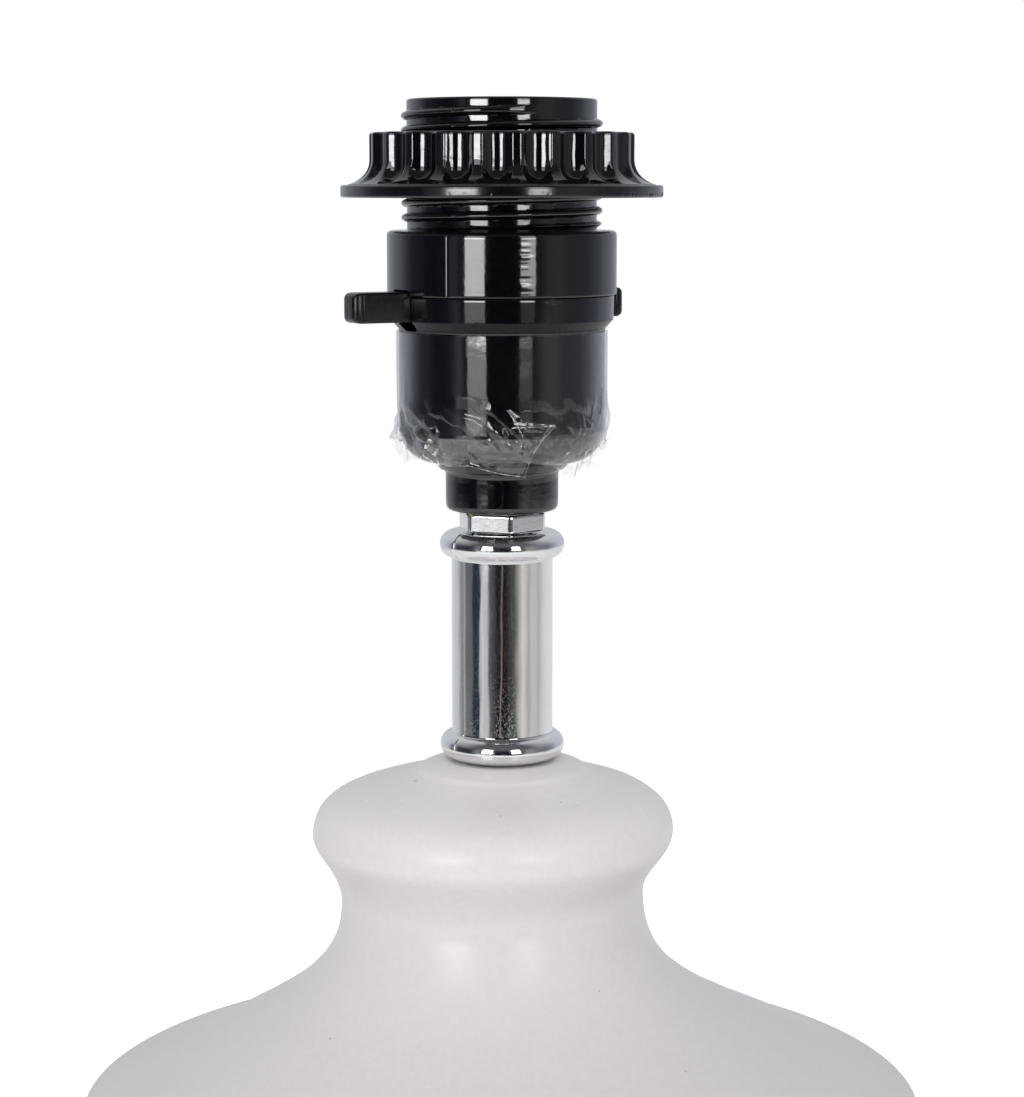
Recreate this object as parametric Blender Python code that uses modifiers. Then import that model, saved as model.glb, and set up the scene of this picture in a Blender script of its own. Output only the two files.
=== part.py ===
"""Ceramic table lamp base with a push-through socket, ready for a threaded shade.

Metres, +Z up. The origin is under the middle of the base, the switch bar runs along X,
and the cord inlet is at the back, on +Y.
"""
import math

import bmesh
import bpy
from mathutils import Matrix, Vector

# Clearances and shared overruns
SEAT_GAP = 0.0003
SLIDE_GAP = 0.0003
CUT_OVERRUN = 0.0010

# Base pad
PAD_THICKNESS = 0.0020
PAD_INSET = 0.0020

# Ceramic body: foot, belly, waist, collar and the low boss on top
CERAMIC_HEIGHT = 0.2297
CERAMIC_WALL = 0.0050
FOOT_RADIUS = 0.0510
FOOT_BAND_HEIGHT = 0.0240
FOOT_EDGE_RADIUS = 0.0020
FOOT_RING_WIDTH = 0.0070
RECESS_DEPTH = 0.0220
BELLY_RADIUS = 0.0728
BELLY_DROP = 0.0607
SHOULDER_RADIUS = 0.0467
SHOULDER_DROP = 0.0479
WAIST_RADIUS = 0.0262
WAIST_DROP = 0.0245
COLLAR_RADIUS = 0.0312
COLLAR_DROP = 0.0130
CROWN_RADIUS = 0.0161
CROWN_DROP = 0.0025
BOSS_RADIUS = 0.0140
BOSS_DROP = 0.0014
BOSS_FLAT_RADIUS = 0.0099
STEM_HOLE_RADIUS = 0.0070
CROWN_SLOPE_SHARE = 0.42
SHOULDER_SLOPE_SHARE = 0.551
CROWN_HANDLE_SHARES = (0.38, 0.745)
COLLAR_HANDLE_SHARES = (0.28, 0.50)
WAIST_HANDLE_SHARES = (0.42, 0.52)
SHOULDER_HANDLE_SHARES = (1.03, 0.10)
BELLY_HANDLE_SHARES = (0.42, 0.30)

# Cord inlet at the back of the foot
INLET_HEIGHT = 0.0130
INLET_HOLE_RADIUS = 0.0060
GROMMET_BORE_RADIUS = 0.0038
GROMMET_FLANGE_RADIUS = 0.0078
GROMMET_FLANGE_THICKNESS = 0.0014
GROMMET_LIP_LENGTH = 0.0016
GROMMET_LIP_HEIGHT = 0.0007
GROMMET_EDGE = 0.0004

# Threaded stem pipe and the hardware that clamps the ceramic
PIPE_RADIUS = 0.0050
PIPE_WALL = 0.0010
PIPE_CHAMFER = 0.0004
PIPE_FOOT_END = 0.0125
PIPE_TOP_INSET = 0.0010
BASE_WASHER_RADIUS = 0.0160
BASE_WASHER_THICKNESS = 0.0015
LOCK_WASHER_RADIUS = 0.0085
LOCK_WASHER_THICKNESS = 0.0012
LOCK_WASHER_SPLIT = 0.0008
BASE_NUT_FLATS = 0.0140
BASE_NUT_THICKNESS = 0.0040
WASHER_EDGE = 0.0002

# Chromed neck tube, rolled to a bead at each end
NECK_LENGTH = 0.03916
NECK_TUBE_RADIUS = 0.0087
NECK_SHEET = 0.0008
BEAD_RADIUS = 0.01068
BEAD_ROLL_RADIUS = 0.00225
LIP_DIP = 0.0010
LIP_RADIUS = 0.0058
LIP_BEND_RADIUS = 0.0076
BEAD_WRAP_ANGLE = math.radians(100)
BEAD_INNER_WRAP_ANGLE = math.radians(75)

# Washer and hexagon nut under the socket
NECK_WASHER_RADIUS = 0.0073
NECK_WASHER_THICKNESS = 0.0005
NUT_FLATS = 0.0134
NUT_THICKNESS = 0.0032
NUT_CHAMFER = 0.0005
NUT_CHAMFER_SLOPE_SHARE = 0.92
NUT_TURN = math.radians(12)

# Socket cap
CAP_NECK_RADIUS = 0.0096
CAP_NECK_TIP_RADIUS = 0.00945
CAP_NECK_EDGE = 0.0010
CAP_NECK_LENGTH = 0.0071
CAP_NECK_FILLET = 0.0010
CAP_CUP_RADIUS = 0.01745
CAP_CUP_CORNER = 0.0058
CAP_CUP_FLOOR_RISE = 0.0012
CAP_CUP_TOP = 0.03074
CAP_DRUM_RADIUS = 0.0189
CAP_CHAMFER_HEIGHT = 0.0015
CAP_HEIGHT = 0.03638
CAP_WALL = 0.00225
CAP_FLOOR_THICKNESS = 0.0030
CAP_RIM_EDGE = 0.0002
POST_RADIUS = 0.0028
POST_LENGTH = 0.0145
POST_RIB_WIDTH = 0.0020
POST_RIB_DROP = 0.0025
BUSHING_RADIUS = 0.0072
BUSHING_FLANGE_RADIUS = 0.0092
BUSHING_FLANGE_THICKNESS = 0.0015
BUSHING_TIP_INSET = 0.0015

# Clear film sleeve round the cup
FILM_THICKNESS = 0.00015
FILM_GAP = 0.00025
FILM_TOP_DROP = 0.0004
FILM_LENGTH = 0.0225
FILM_RAG = 0.0020
FILM_TUCK = 0.0022
FILM_TUCK_START = 0.0162
FILM_WAVE_COUNT = 3
FILM_TEAR_COUNT = 7

# Socket shell: drum, threaded barrel and the web between them
DRUM_RADIUS = 0.0193
DRUM_HEIGHT = 0.0104
DRUM_EDGE = 0.0008
DRUM_WALL = 0.0025
BARREL_HEIGHT = 0.02166
BARREL_CREST_RADIUS = 0.01685
BARREL_CORE_RADIUS = 0.0159
BARREL_RIM_RADIUS = 0.0159
BARREL_RIM_EDGE = 0.0005
BARREL_COLLAR_LENGTH = 0.0026
BARREL_BORE_RADIUS = 0.0139
WEB_RISE = 0.0029
WEB_THICKNESS = 0.0026

# Fluted shade ring on the barrel
RING_LIFT = 0.00546
RING_HEIGHT = 0.0107
RING_TOP_RADIUS = 0.02215
RING_TOP_EDGE = 0.0005
RING_FLANGE_RADIUS = 0.0270
RING_FLANGE_THICKNESS = 0.00205
RING_FLANGE_EDGE = 0.0003
RING_FLARE_HEIGHT = 0.0042
RING_FLARE_HANDLE_SHARES = (0.62, 0.45)
RING_BORE_CHAMFER = 0.0006
FLUTE_COUNT = 22
FLUTE_RADIUS = 0.0021
FLUTE_FLOOR_RADIUS = 0.0209
FLUTE_END_RISE = 0.0006
FLUTE_TURN_SHARE = 0.557

# Lamp-holder insert: screw shell, insulator and centre contact
SCREW_SHELL_RADIUS = 0.0136
SCREW_SHELL_SHEET = 0.0004
SCREW_SHELL_HEIGHT = 0.0245
SCREW_SHELL_FLOOR_HOLE = 0.0099
SCREW_SHELL_FLOOR_BEND = 0.0008
INSULATOR_RADIUS = 0.0096
INSULATOR_THICKNESS = 0.0024
INSULATOR_EDGE = 0.0003
CONTACT_SHEET = 0.0004
CONTACT_WIDTH = 0.0040
CONTACT_REACH = 0.0092
CONTACT_FLAT_END = 0.0046
CONTACT_RISE = 0.0032
CONTACT_TIP_REACH = 0.0024
CONTACT_TIP_DROP = 0.0008
CONTACT_RIVET_PLACE = 0.0077
RIVET_RADIUS = 0.0009
RIVET_HEAD_RADIUS = 0.0015
RIVET_HEAD_THICKNESS = 0.0006
RIVET_CROWN_SHARE = 0.6
SHELL_RIVET_PLACE = 0.0114
SHELL_RIVET_HEAD_RADIUS = 0.0013

# Assembly screws from the insulator into the posts of the cap
ASSEMBLY_PLACE = 0.0065
ASSEMBLY_RADIUS = 0.0014
ASSEMBLY_HEAD_RADIUS = 0.0022
ASSEMBLY_HEAD_THICKNESS = 0.0016
ASSEMBLY_BITE = 0.0110
SLOT_WIDTH = 0.0006
SLOT_DEPTH = 0.0006

# Push-through switch bar and its contacts
BAR_WIDTH = 0.0046
BAR_HEIGHT = 0.0050
BAR_RISE = 0.00085
BAR_LEFT_REACH = 0.0289
BAR_RIGHT_REACH = 0.0230
BAR_EDGE = 0.0004
BAR_TIP_LENGTH = 0.00135
BAR_TIP_TAPER = 0.0007
BAR_NOTCH_DROP = 0.0016
BAR_NOTCH_CORNER = 0.0012
BAR_TRAVEL = 0.0059
BRIDGE_LENGTH = 0.0090
BRIDGE_WIDTH = 0.0028
BRIDGE_SHEET = 0.0006
BRIDGE_PLACE = -0.0005
BRIDGE_GROOVE_DEPTH = 0.0006
BLADE_SHEET = 0.0006
BLADE_GAP_TO_BAR = 0.0008
BLADE_TIP_REACH = 0.0012
LINE_BLADE_PLACE = 0.0039
LOAD_BLADE_PLACE = 0.0081
BLADE_WIDTH = 0.0034
LINE_TERMINAL_PLACE = 0.0102
NEUTRAL_PLACE = -0.0106
NEUTRAL_TERMINAL_PLACE = 0.0058
NEUTRAL_WIDTH = 0.0040
TERMINAL_DROP = 0.0104
TERMINAL_SCREW_DROP = 0.0068
TERMINAL_SCREW_RADIUS = 0.0013
TERMINAL_SCREW_LENGTH = 0.0030
TERMINAL_HEAD_RADIUS = 0.0020
TERMINAL_HEAD_THICKNESS = 0.0014
SPRING_SHEET = 0.0003
SPRING_WIDTH = 0.0028
SPRING_PLACE = -0.0060
SPRING_STANDOFF = 0.0012
SPRING_BITE = 0.0002
SPRING_TAB = 0.0030
SPRING_BUMP_HALF_HEIGHT = 0.0012
DETENT_DEPTH = 0.0005
DETENT_NOTCH_DEPTH = 0.0005
DETENT_HALF_LENGTH = 0.0018
DETENT_HEIGHT = 0.0030

# Heights that follow from the sizes above
CERAMIC_BOTTOM = PAD_THICKNESS + SEAT_GAP
CERAMIC_TOP = CERAMIC_BOTTOM + CERAMIC_HEIGHT
FLOOR_UNDERSIDE = CERAMIC_BOTTOM + RECESS_DEPTH
NECK_BOTTOM = CERAMIC_TOP + SEAT_GAP
NECK_TOP = NECK_BOTTOM + NECK_LENGTH
NECK_WASHER_BOTTOM = NECK_TOP - LIP_DIP + SEAT_GAP
NUT_BOTTOM = NECK_WASHER_BOTTOM + NECK_WASHER_THICKNESS + SEAT_GAP
CAP_BOTTOM = NUT_BOTTOM + NUT_THICKNESS + SEAT_GAP
CAP_TOP = CAP_BOTTOM + CAP_HEIGHT
CUP_TOP = CAP_BOTTOM + CAP_CUP_TOP
CUP_FLOOR = CAP_BOTTOM + CAP_NECK_LENGTH + CAP_CUP_FLOOR_RISE + CAP_FLOOR_THICKNESS
SHELL_BOTTOM = CAP_TOP + SEAT_GAP
DRUM_TOP = SHELL_BOTTOM + DRUM_HEIGHT
BARREL_TOP = DRUM_TOP + BARREL_HEIGHT
WEB_BOTTOM = SHELL_BOTTOM + WEB_RISE
WEB_TOP = WEB_BOTTOM + WEB_THICKNESS
RING_BOTTOM = DRUM_TOP + RING_LIFT
RING_TOP = RING_BOTTOM + RING_HEIGHT
RING_BORE_RADIUS = BARREL_CREST_RADIUS + SLIDE_GAP
INSULATOR_BOTTOM = WEB_TOP + SEAT_GAP
INSULATOR_TOP = INSULATOR_BOTTOM + INSULATOR_THICKNESS
BAR_TOP = CAP_TOP + BAR_RISE
BAR_BOTTOM = BAR_TOP - BAR_HEIGHT
BAR_CENTRE = BAR_BOTTOM + BAR_HEIGHT / 2
BRIDGE_BOTTOM = BAR_BOTTOM + BRIDGE_GROOVE_DEPTH - SEAT_GAP - BRIDGE_SHEET
TAB_TOP = WEB_BOTTOM - SEAT_GAP
TAB_BOTTOM = TAB_TOP - BLADE_SHEET
CAP_NECK_BORE_RADIUS = BUSHING_RADIUS + SEAT_GAP
CAP_DRUM_BORE_RADIUS = CAP_DRUM_RADIUS - CAP_WALL
CAP_CUP_BORE_RADIUS = CAP_CUP_RADIUS - CAP_WALL
BUSHING_BORE_RADIUS = PIPE_RADIUS + SEAT_GAP
BUSHING_FLANGE_BOTTOM = CUP_FLOOR + SEAT_GAP
BUSHING_TOP = BUSHING_FLANGE_BOTTOM + BUSHING_FLANGE_THICKNESS

# Facet counts
BODY_SIDE_COUNT = 36
SOCKET_SIDE_COUNT = 28
RING_SIDE_COUNT = 44
NECK_SIDE_COUNT = 20
SMALL_SIDE_COUNT = 16
FASTENER_SIDE_COUNT = 12
CURVE_COUNT = 5
LONG_CURVE_COUNT = 7
INNER_CURVE_COUNT = 2
ARC_COUNT = 3
BEAD_SIDE_COUNT = 5
FILM_ROW_COUNT = 3
SHARP_ANGLE = math.radians(35)


def clear_scene():
    for old in list(bpy.data.objects):
        bpy.data.objects.remove(old, do_unlink=True)


def new_collection(name):
    collection = bpy.data.collections.new(name)
    bpy.context.scene.collection.children.link(collection)
    return collection


def new_material(name, colour, roughness, metallic=0.0, transmission=0.0):
    material = bpy.data.materials.new(name)
    material.use_nodes = True
    shader = material.node_tree.nodes["Principled BSDF"]
    shader.inputs["Base Color"].default_value = (*colour, 1.0)
    shader.inputs["Roughness"].default_value = roughness
    shader.inputs["Metallic"].default_value = metallic
    shader.inputs["Transmission Weight"].default_value = transmission
    return material


def place(obj, collection, material=None):
    collection.objects.link(obj)
    if material is not None:
        obj.data.materials.append(material)
    return obj


def arc(centre, radius, start, end, count=ARC_COUNT):
    """Points round an arc, with the angles in degrees and both ends included."""
    points = []
    for index in range(count + 1):
        angle = math.radians(start + (end - start) * index / count)
        points.append((centre[0] + radius * math.cos(angle),
                       centre[1] + radius * math.sin(angle)))
    return points


def bezier(start, start_handle, end_handle, end, count):
    """Points on a cubic curve, with both ends included."""
    points = []
    for index in range(count + 1):
        t = index / count
        u = 1.0 - t
        weights = (u ** 3, 3 * u * u * t, 3 * u * t * t, t ** 3)
        knots = (start, start_handle, end_handle, end)
        points.append((sum(w * k[0] for w, k in zip(weights, knots)),
                       sum(w * k[1] for w, k in zip(weights, knots))))
    return points


def without_repeats(points):
    """Drops a point that lies on the one before it."""
    kept = [points[0]]
    for point in points[1:]:
        if math.dist(point, kept[-1]) > SEAT_GAP / 100:
            kept.append(point)
    return kept


def shade(obj):
    obj.data.shade_smooth()
    obj.data.set_sharp_from_angle(angle=SHARP_ANGLE)


def turned(name, profile, collection, material=None, steps=SOCKET_SIDE_COUNT, closed=False):
    """Turns a profile of (radius, height) points, outer side downwards, round Z."""
    points = without_repeats(profile)
    mesh = bpy.data.meshes.new(name)
    edges = [(index, index + 1) for index in range(len(points) - 1)]
    if closed:
        edges.append((len(points) - 1, 0))
    mesh.from_pydata([(radius, 0, height) for radius, height in points], edges, [])
    obj = place(bpy.data.objects.new(name, mesh), collection, material)
    screw = obj.modifiers.new("Turn", "SCREW")
    screw.axis = "Z"
    screw.angle = 2 * math.pi
    screw.steps = steps
    screw.render_steps = steps
    screw.use_merge_vertices = True
    screw.merge_threshold = SEAT_GAP / 100
    screw.use_smooth_shade = True
    return obj


def frozen(obj):
    """Applies an object's modifiers, so that later cuts start from a plain mesh."""
    bpy.context.view_layer.update()
    evaluated = obj.evaluated_get(bpy.context.evaluated_depsgraph_get())
    mesh = bpy.data.meshes.new_from_object(evaluated)
    mesh.name = obj.name
    shell = bmesh.new()
    shell.from_mesh(mesh)
    bmesh.ops.remove_doubles(shell, verts=shell.verts, dist=SEAT_GAP / 100)
    shell.to_mesh(mesh)
    shell.free()
    if obj.type == "CURVE":
        solid = bpy.data.objects.new(obj.name, mesh)
        solid.matrix_world = obj.matrix_world.copy()
        for collection in obj.users_collection:
            collection.objects.link(solid)
        old_name = obj.name
        bpy.data.objects.remove(obj, do_unlink=True)
        solid.name = old_name
        return solid
    obj.modifiers.clear()
    obj.data = mesh
    return obj


def hide_cutter(obj):
    obj.hide_render = True
    obj.display_type = "WIRE"
    return obj


def combine(target, tool, operation):
    modifier = target.modifiers.new(operation.title(), "BOOLEAN")
    modifier.operation = operation
    modifier.solver = "EXACT"
    modifier.object = hide_cutter(tool)


def bevelled(obj, width, segments=2):
    modifier = obj.modifiers.new("Edges", "BEVEL")
    modifier.width = width
    modifier.segments = segments
    modifier.limit_method = "ANGLE"
    modifier.angle_limit = SHARP_ANGLE


def block(name, low, high, collection, material=None):
    """A box between two corners."""
    mesh = bpy.data.meshes.new(name)
    solid = bmesh.new()
    size = [top - bottom for bottom, top in zip(low, high)]
    centre = [(top + bottom) / 2 for bottom, top in zip(low, high)]
    bmesh.ops.create_cube(solid, size=1.0)
    bmesh.ops.scale(solid, vec=size, verts=solid.verts)
    solid.to_mesh(mesh)
    solid.free()
    obj = place(bpy.data.objects.new(name, mesh), collection, material)
    obj.location = centre
    return obj


def rod(name, radius, low, high, axis, collection, material=None, sides=SMALL_SIDE_COUNT):
    """A cylinder between two points on a line along X, Y or Z."""
    mesh = bpy.data.meshes.new(name)
    solid = bmesh.new()
    length = (Vector(high) - Vector(low)).length
    half_side = Matrix.Rotation(math.pi / sides, 4, "Z")
    bmesh.ops.create_cone(solid, cap_ends=True, segments=sides, radius1=radius,
                          radius2=radius, depth=length, matrix=half_side)
    solid.to_mesh(mesh)
    solid.free()
    obj = place(bpy.data.objects.new(name, mesh), collection, material)
    obj.location = (Vector(low) + Vector(high)) / 2
    if axis == "X":
        obj.rotation_euler = (0, math.radians(90), 0)
    if axis == "Y":
        obj.rotation_euler = (math.radians(90), 0, 0)
    return obj


def plate(name, outline, thickness, collection, material=None):
    """A flat closed outline in XY, given a thickness along Z about its own plane."""
    curve = bpy.data.curves.new(name, "CURVE")
    curve.dimensions = "2D"
    curve.fill_mode = "BOTH"
    curve.extrude = thickness / 2
    spline = curve.splines.new("POLY")
    spline.points.add(len(outline) - 1)
    for point, (x, y) in zip(spline.points, outline):
        point.co = (x, y, 0, 1)
    spline.use_cyclic_u = True
    obj = bpy.data.objects.new(name, curve)
    collection.objects.link(obj)
    if material is not None:
        curve.materials.append(material)
    return obj


def strip_outline(path, thickness):
    """The closed outline of a bent strip whose middle line is the path."""
    left = []
    right = []
    for index, point in enumerate(path):
        here = Vector(point)
        before = Vector(path[max(index - 1, 0)])
        after = Vector(path[min(index + 1, len(path) - 1)])
        into = (here - before).normalized() if index > 0 else (after - here).normalized()
        out_of = (after - here).normalized() if index < len(path) - 1 else into
        across = Vector((-(into + out_of).y, (into + out_of).x)).normalized()
        square = Vector((-into.y, into.x))
        reach = thickness / 2 / across.dot(square)
        left.append(tuple(here + across * reach))
        right.append(tuple(here - across * reach))
    return left + right[::-1]


def strap(name, path, thickness, width, place_x, collection, material):
    """A bent metal strap: its path lies in YZ and its width runs along X."""
    curve = plate(name, strip_outline(path, thickness), width, collection, material)
    turn = Matrix(((0, 0, 1), (1, 0, 0), (0, 1, 0))).to_4x4()
    curve.matrix_world = Matrix.Translation((place_x, 0, 0)) @ turn
    solid = frozen(curve)
    return solid


def washer(name, outer, inner, low, thickness, collection, material, steps=SMALL_SIDE_COUNT):
    high = low + thickness
    edge = min(WASHER_EDGE, thickness / 4)
    profile = [(inner, high), (outer - edge, high), (outer, high - edge),
               (outer, low + edge), (outer - edge, low), (inner, low)]
    return turned(name, profile, collection, material, steps, closed=True)


def hexagon_nut(name, flats, bore, low, thickness, turn, collection, cutters, material):
    """A hexagon prism with its corners turned off on both faces, and a bore."""
    corner = flats / math.sqrt(3)
    outline = [(corner * math.cos(turn + math.pi / 3 * side),
                corner * math.sin(turn + math.pi / 3 * side)) for side in range(6)]
    prism = plate(name, outline, thickness, collection, material)
    prism.location = (0, 0, low + thickness / 2)
    prism = frozen(prism)
    rim = corner - NUT_CHAMFER
    over = CUT_OVERRUN
    drop = (NUT_CHAMFER + over) * NUT_CHAMFER_SLOPE_SHARE
    high = low + thickness
    profile = [(0, high), (rim, high), (corner + over, high - drop), (corner + over, low + drop),
               (rim, low), (0, low)]
    envelope = turned(name + "_envelope", profile, cutters, steps=NECK_SIDE_COUNT)
    combine(prism, envelope, "INTERSECT")
    hole = rod(name + "_hole", bore, (0, 0, low - over), (0, 0, high + over), "Z", cutters)
    combine(prism, hole, "DIFFERENCE")
    shade(prism)
    return prism


def body_curve(inset, count, long_count):
    """The ceramic's outline from crown to foot, moved inwards by the inset."""
    crown = (CROWN_RADIUS, CERAMIC_TOP - CROWN_DROP - inset)
    collar = (COLLAR_RADIUS - inset, CERAMIC_TOP - COLLAR_DROP)
    waist = (WAIST_RADIUS - inset, CERAMIC_TOP - WAIST_DROP)
    lean = Vector((1.0, -SHOULDER_SLOPE_SHARE)).normalized()
    shoulder = (SHOULDER_RADIUS + inset * lean.y, CERAMIC_TOP - SHOULDER_DROP - inset * lean.x)
    belly = (BELLY_RADIUS - inset, CERAMIC_TOP - BELLY_DROP)
    foot = (FOOT_RADIUS - inset, CERAMIC_BOTTOM + FOOT_BAND_HEIGHT)
    start = Vector((1.0, -CROWN_SLOPE_SHARE)).normalized() * math.dist(crown, collar)
    points = bezier(crown,
                    (crown[0] + start.x * CROWN_HANDLE_SHARES[0],
                     crown[1] + start.y * CROWN_HANDLE_SHARES[0]),
                    (collar[0], collar[1] + (crown[1] - collar[1]) * CROWN_HANDLE_SHARES[1]),
                    collar, count)
    fall = collar[1] - waist[1]
    points += bezier(collar, (collar[0], collar[1] - fall * COLLAR_HANDLE_SHARES[0]),
                     (waist[0], waist[1] + fall * COLLAR_HANDLE_SHARES[1]), waist, count)
    reach = math.dist(waist, shoulder) * WAIST_HANDLE_SHARES[1]
    points += bezier(waist,
                     (waist[0], waist[1] - (waist[1] - shoulder[1]) * WAIST_HANDLE_SHARES[0]),
                     (shoulder[0] - lean.x * reach, shoulder[1] - lean.y * reach), shoulder, count)
    reach = math.dist(shoulder, belly) * SHOULDER_HANDLE_SHARES[0]
    points += bezier(shoulder, (shoulder[0] + lean.x * reach, shoulder[1] + lean.y * reach),
                     (belly[0], belly[1] + (shoulder[1] - belly[1]) * SHOULDER_HANDLE_SHARES[1]),
                     belly, long_count)
    fall = belly[1] - foot[1]
    points += bezier(belly, (belly[0], belly[1] - fall * BELLY_HANDLE_SHARES[0]),
                     (foot[0], foot[1] + fall * BELLY_HANDLE_SHARES[1]), foot, long_count)
    return points


def make_base_pad(parts, material):
    outer = FOOT_RADIUS - PAD_INSET
    return turned("base_pad", [(0, PAD_THICKNESS), (outer, PAD_THICKNESS), (outer, 0), (0, 0)],
                  parts, material, BODY_SIDE_COUNT)


def make_ceramic_body(parts, cutters, material):
    inside = body_curve(CERAMIC_WALL, INNER_CURVE_COUNT, CURVE_COUNT - 1)
    hollow_floor = FLOOR_UNDERSIDE + CERAMIC_WALL
    foot_inner = FOOT_RADIUS - FOOT_RING_WIDTH
    profile = [(STEM_HOLE_RADIUS, CERAMIC_TOP), (BOSS_FLAT_RADIUS, CERAMIC_TOP),
               (BOSS_RADIUS, CERAMIC_TOP - BOSS_DROP)]
    profile += body_curve(0, CURVE_COUNT, LONG_CURVE_COUNT)
    profile += arc((FOOT_RADIUS - FOOT_EDGE_RADIUS, CERAMIC_BOTTOM + FOOT_EDGE_RADIUS),
                   FOOT_EDGE_RADIUS, 0, -90, 2)
    profile += [(foot_inner + FOOT_EDGE_RADIUS, CERAMIC_BOTTOM),
                (foot_inner, CERAMIC_BOTTOM + FOOT_EDGE_RADIUS),
                (foot_inner, FLOOR_UNDERSIDE),
                (STEM_HOLE_RADIUS, FLOOR_UNDERSIDE),
                (STEM_HOLE_RADIUS, hollow_floor)]
    profile += [point for point in reversed(inside) if point[1] > hollow_floor]
    profile += [(STEM_HOLE_RADIUS, CERAMIC_TOP - CROWN_DROP - CERAMIC_WALL)]
    body = turned("ceramic_body", profile, parts, material, BODY_SIDE_COUNT, closed=True)
    hole = rod("inlet_cut", INLET_HOLE_RADIUS,
               (0, FOOT_RADIUS - FOOT_RING_WIDTH - CUT_OVERRUN, INLET_HEIGHT),
               (0, FOOT_RADIUS + CUT_OVERRUN, INLET_HEIGHT), "Y", cutters)
    combine(body, hole, "DIFFERENCE")
    return body


def make_cord_grommet(parts, material):
    """A flanged bush from the back of the foot into the recess, with a snap lip inside."""
    outer = INLET_HOLE_RADIUS - SEAT_GAP
    face = FOOT_RADIUS + SEAT_GAP
    outside = face + GROMMET_FLANGE_THICKNESS
    lip = outer + GROMMET_LIP_HEIGHT
    foot_inner = FOOT_RADIUS - FOOT_RING_WIDTH
    lip_start = math.sqrt(foot_inner ** 2 - lip ** 2) - SEAT_GAP
    tip = lip_start - GROMMET_LIP_LENGTH
    profile = [(GROMMET_BORE_RADIUS + GROMMET_EDGE, outside),
               (GROMMET_FLANGE_RADIUS - GROMMET_EDGE, outside),
               (GROMMET_FLANGE_RADIUS, outside - GROMMET_EDGE),
               (GROMMET_FLANGE_RADIUS, face), (outer, face),
               (outer, lip_start), (lip, lip_start), (outer - GROMMET_EDGE, tip),
               (GROMMET_BORE_RADIUS, tip), (GROMMET_BORE_RADIUS, outside - GROMMET_EDGE)]
    grommet = turned("cord_grommet", profile, parts, material, SMALL_SIDE_COUNT, closed=True)
    grommet.location = (0, 0, INLET_HEIGHT)
    grommet.rotation_euler = (math.radians(-90), 0, 0)
    return grommet


def make_stem_hardware(parts, cutters, steel, zinc):
    top = BUSHING_TOP - PIPE_TOP_INSET
    inner = PIPE_RADIUS - PIPE_WALL
    profile = [(inner, top), (PIPE_RADIUS - PIPE_CHAMFER, top), (PIPE_RADIUS, top - PIPE_CHAMFER),
               (PIPE_RADIUS, PIPE_FOOT_END + PIPE_CHAMFER),
               (PIPE_RADIUS - PIPE_CHAMFER, PIPE_FOOT_END), (inner, PIPE_FOOT_END)]
    turned("stem_pipe", profile, parts, zinc, SMALL_SIDE_COUNT, closed=True)
    bore = PIPE_RADIUS + SEAT_GAP
    low = FLOOR_UNDERSIDE - SEAT_GAP - BASE_WASHER_THICKNESS
    washer("base_washer", BASE_WASHER_RADIUS, bore, low, BASE_WASHER_THICKNESS, parts, steel,
           NECK_SIDE_COUNT)
    low -= SEAT_GAP + LOCK_WASHER_THICKNESS
    lock = washer("lock_washer", LOCK_WASHER_RADIUS, bore, low, LOCK_WASHER_THICKNESS, parts, steel)
    split = block("lock_washer_split", (0, -LOCK_WASHER_SPLIT / 2, low - CUT_OVERRUN),
                  (LOCK_WASHER_RADIUS + CUT_OVERRUN, LOCK_WASHER_SPLIT / 2,
                   low + LOCK_WASHER_THICKNESS + CUT_OVERRUN), cutters)
    combine(lock, split, "DIFFERENCE")
    low -= SEAT_GAP + BASE_NUT_THICKNESS
    hexagon_nut("base_nut", BASE_NUT_FLATS, bore, low, BASE_NUT_THICKNESS, 0.0, parts, cutters,
                zinc)


def make_neck_tube(parts, material):
    """The outer skin runs round both rolled beads, and the inner skin follows inside."""
    roll = BEAD_RADIUS - BEAD_ROLL_RADIUS
    top_centre = (roll, NECK_TOP - BEAD_ROLL_RADIUS)
    low_centre = (roll, NECK_BOTTOM + BEAD_ROLL_RADIUS)
    meet = math.degrees(math.acos((NECK_TUBE_RADIUS - roll) / BEAD_ROLL_RADIUS))
    wrap = math.degrees(BEAD_WRAP_ANGLE)
    inner_wrap = math.degrees(BEAD_INNER_WRAP_ANGLE)
    lip_top = NECK_TOP - LIP_DIP
    lip_low = NECK_BOTTOM + LIP_DIP
    inner_roll = BEAD_ROLL_RADIUS - NECK_SHEET
    inner_tube = NECK_TUBE_RADIUS - NECK_SHEET
    inner_meet = math.degrees(math.asin(min(1.0, (roll - inner_tube) / inner_roll)))
    profile = [(LIP_RADIUS, lip_top), (LIP_BEND_RADIUS - LIP_DIP / 2, lip_top)]
    profile += arc(top_centre, BEAD_ROLL_RADIUS, wrap, -meet, BEAD_SIDE_COUNT)
    profile += arc(low_centre, BEAD_ROLL_RADIUS, meet, -wrap, BEAD_SIDE_COUNT)
    profile += [(LIP_BEND_RADIUS - LIP_DIP / 2, lip_low), (LIP_RADIUS, lip_low),
                (LIP_RADIUS, lip_low + NECK_SHEET), (LIP_BEND_RADIUS, lip_low + NECK_SHEET)]
    profile += arc(low_centre, inner_roll, -inner_wrap, 90 + inner_meet, 2)
    profile += arc(top_centre, inner_roll, -90 - inner_meet, inner_wrap, 2)
    profile += [(LIP_BEND_RADIUS, lip_top - NECK_SHEET), (LIP_RADIUS, lip_top - NECK_SHEET)]
    return turned("neck_tube", profile, parts, material, NECK_SIDE_COUNT, closed=True)


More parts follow.
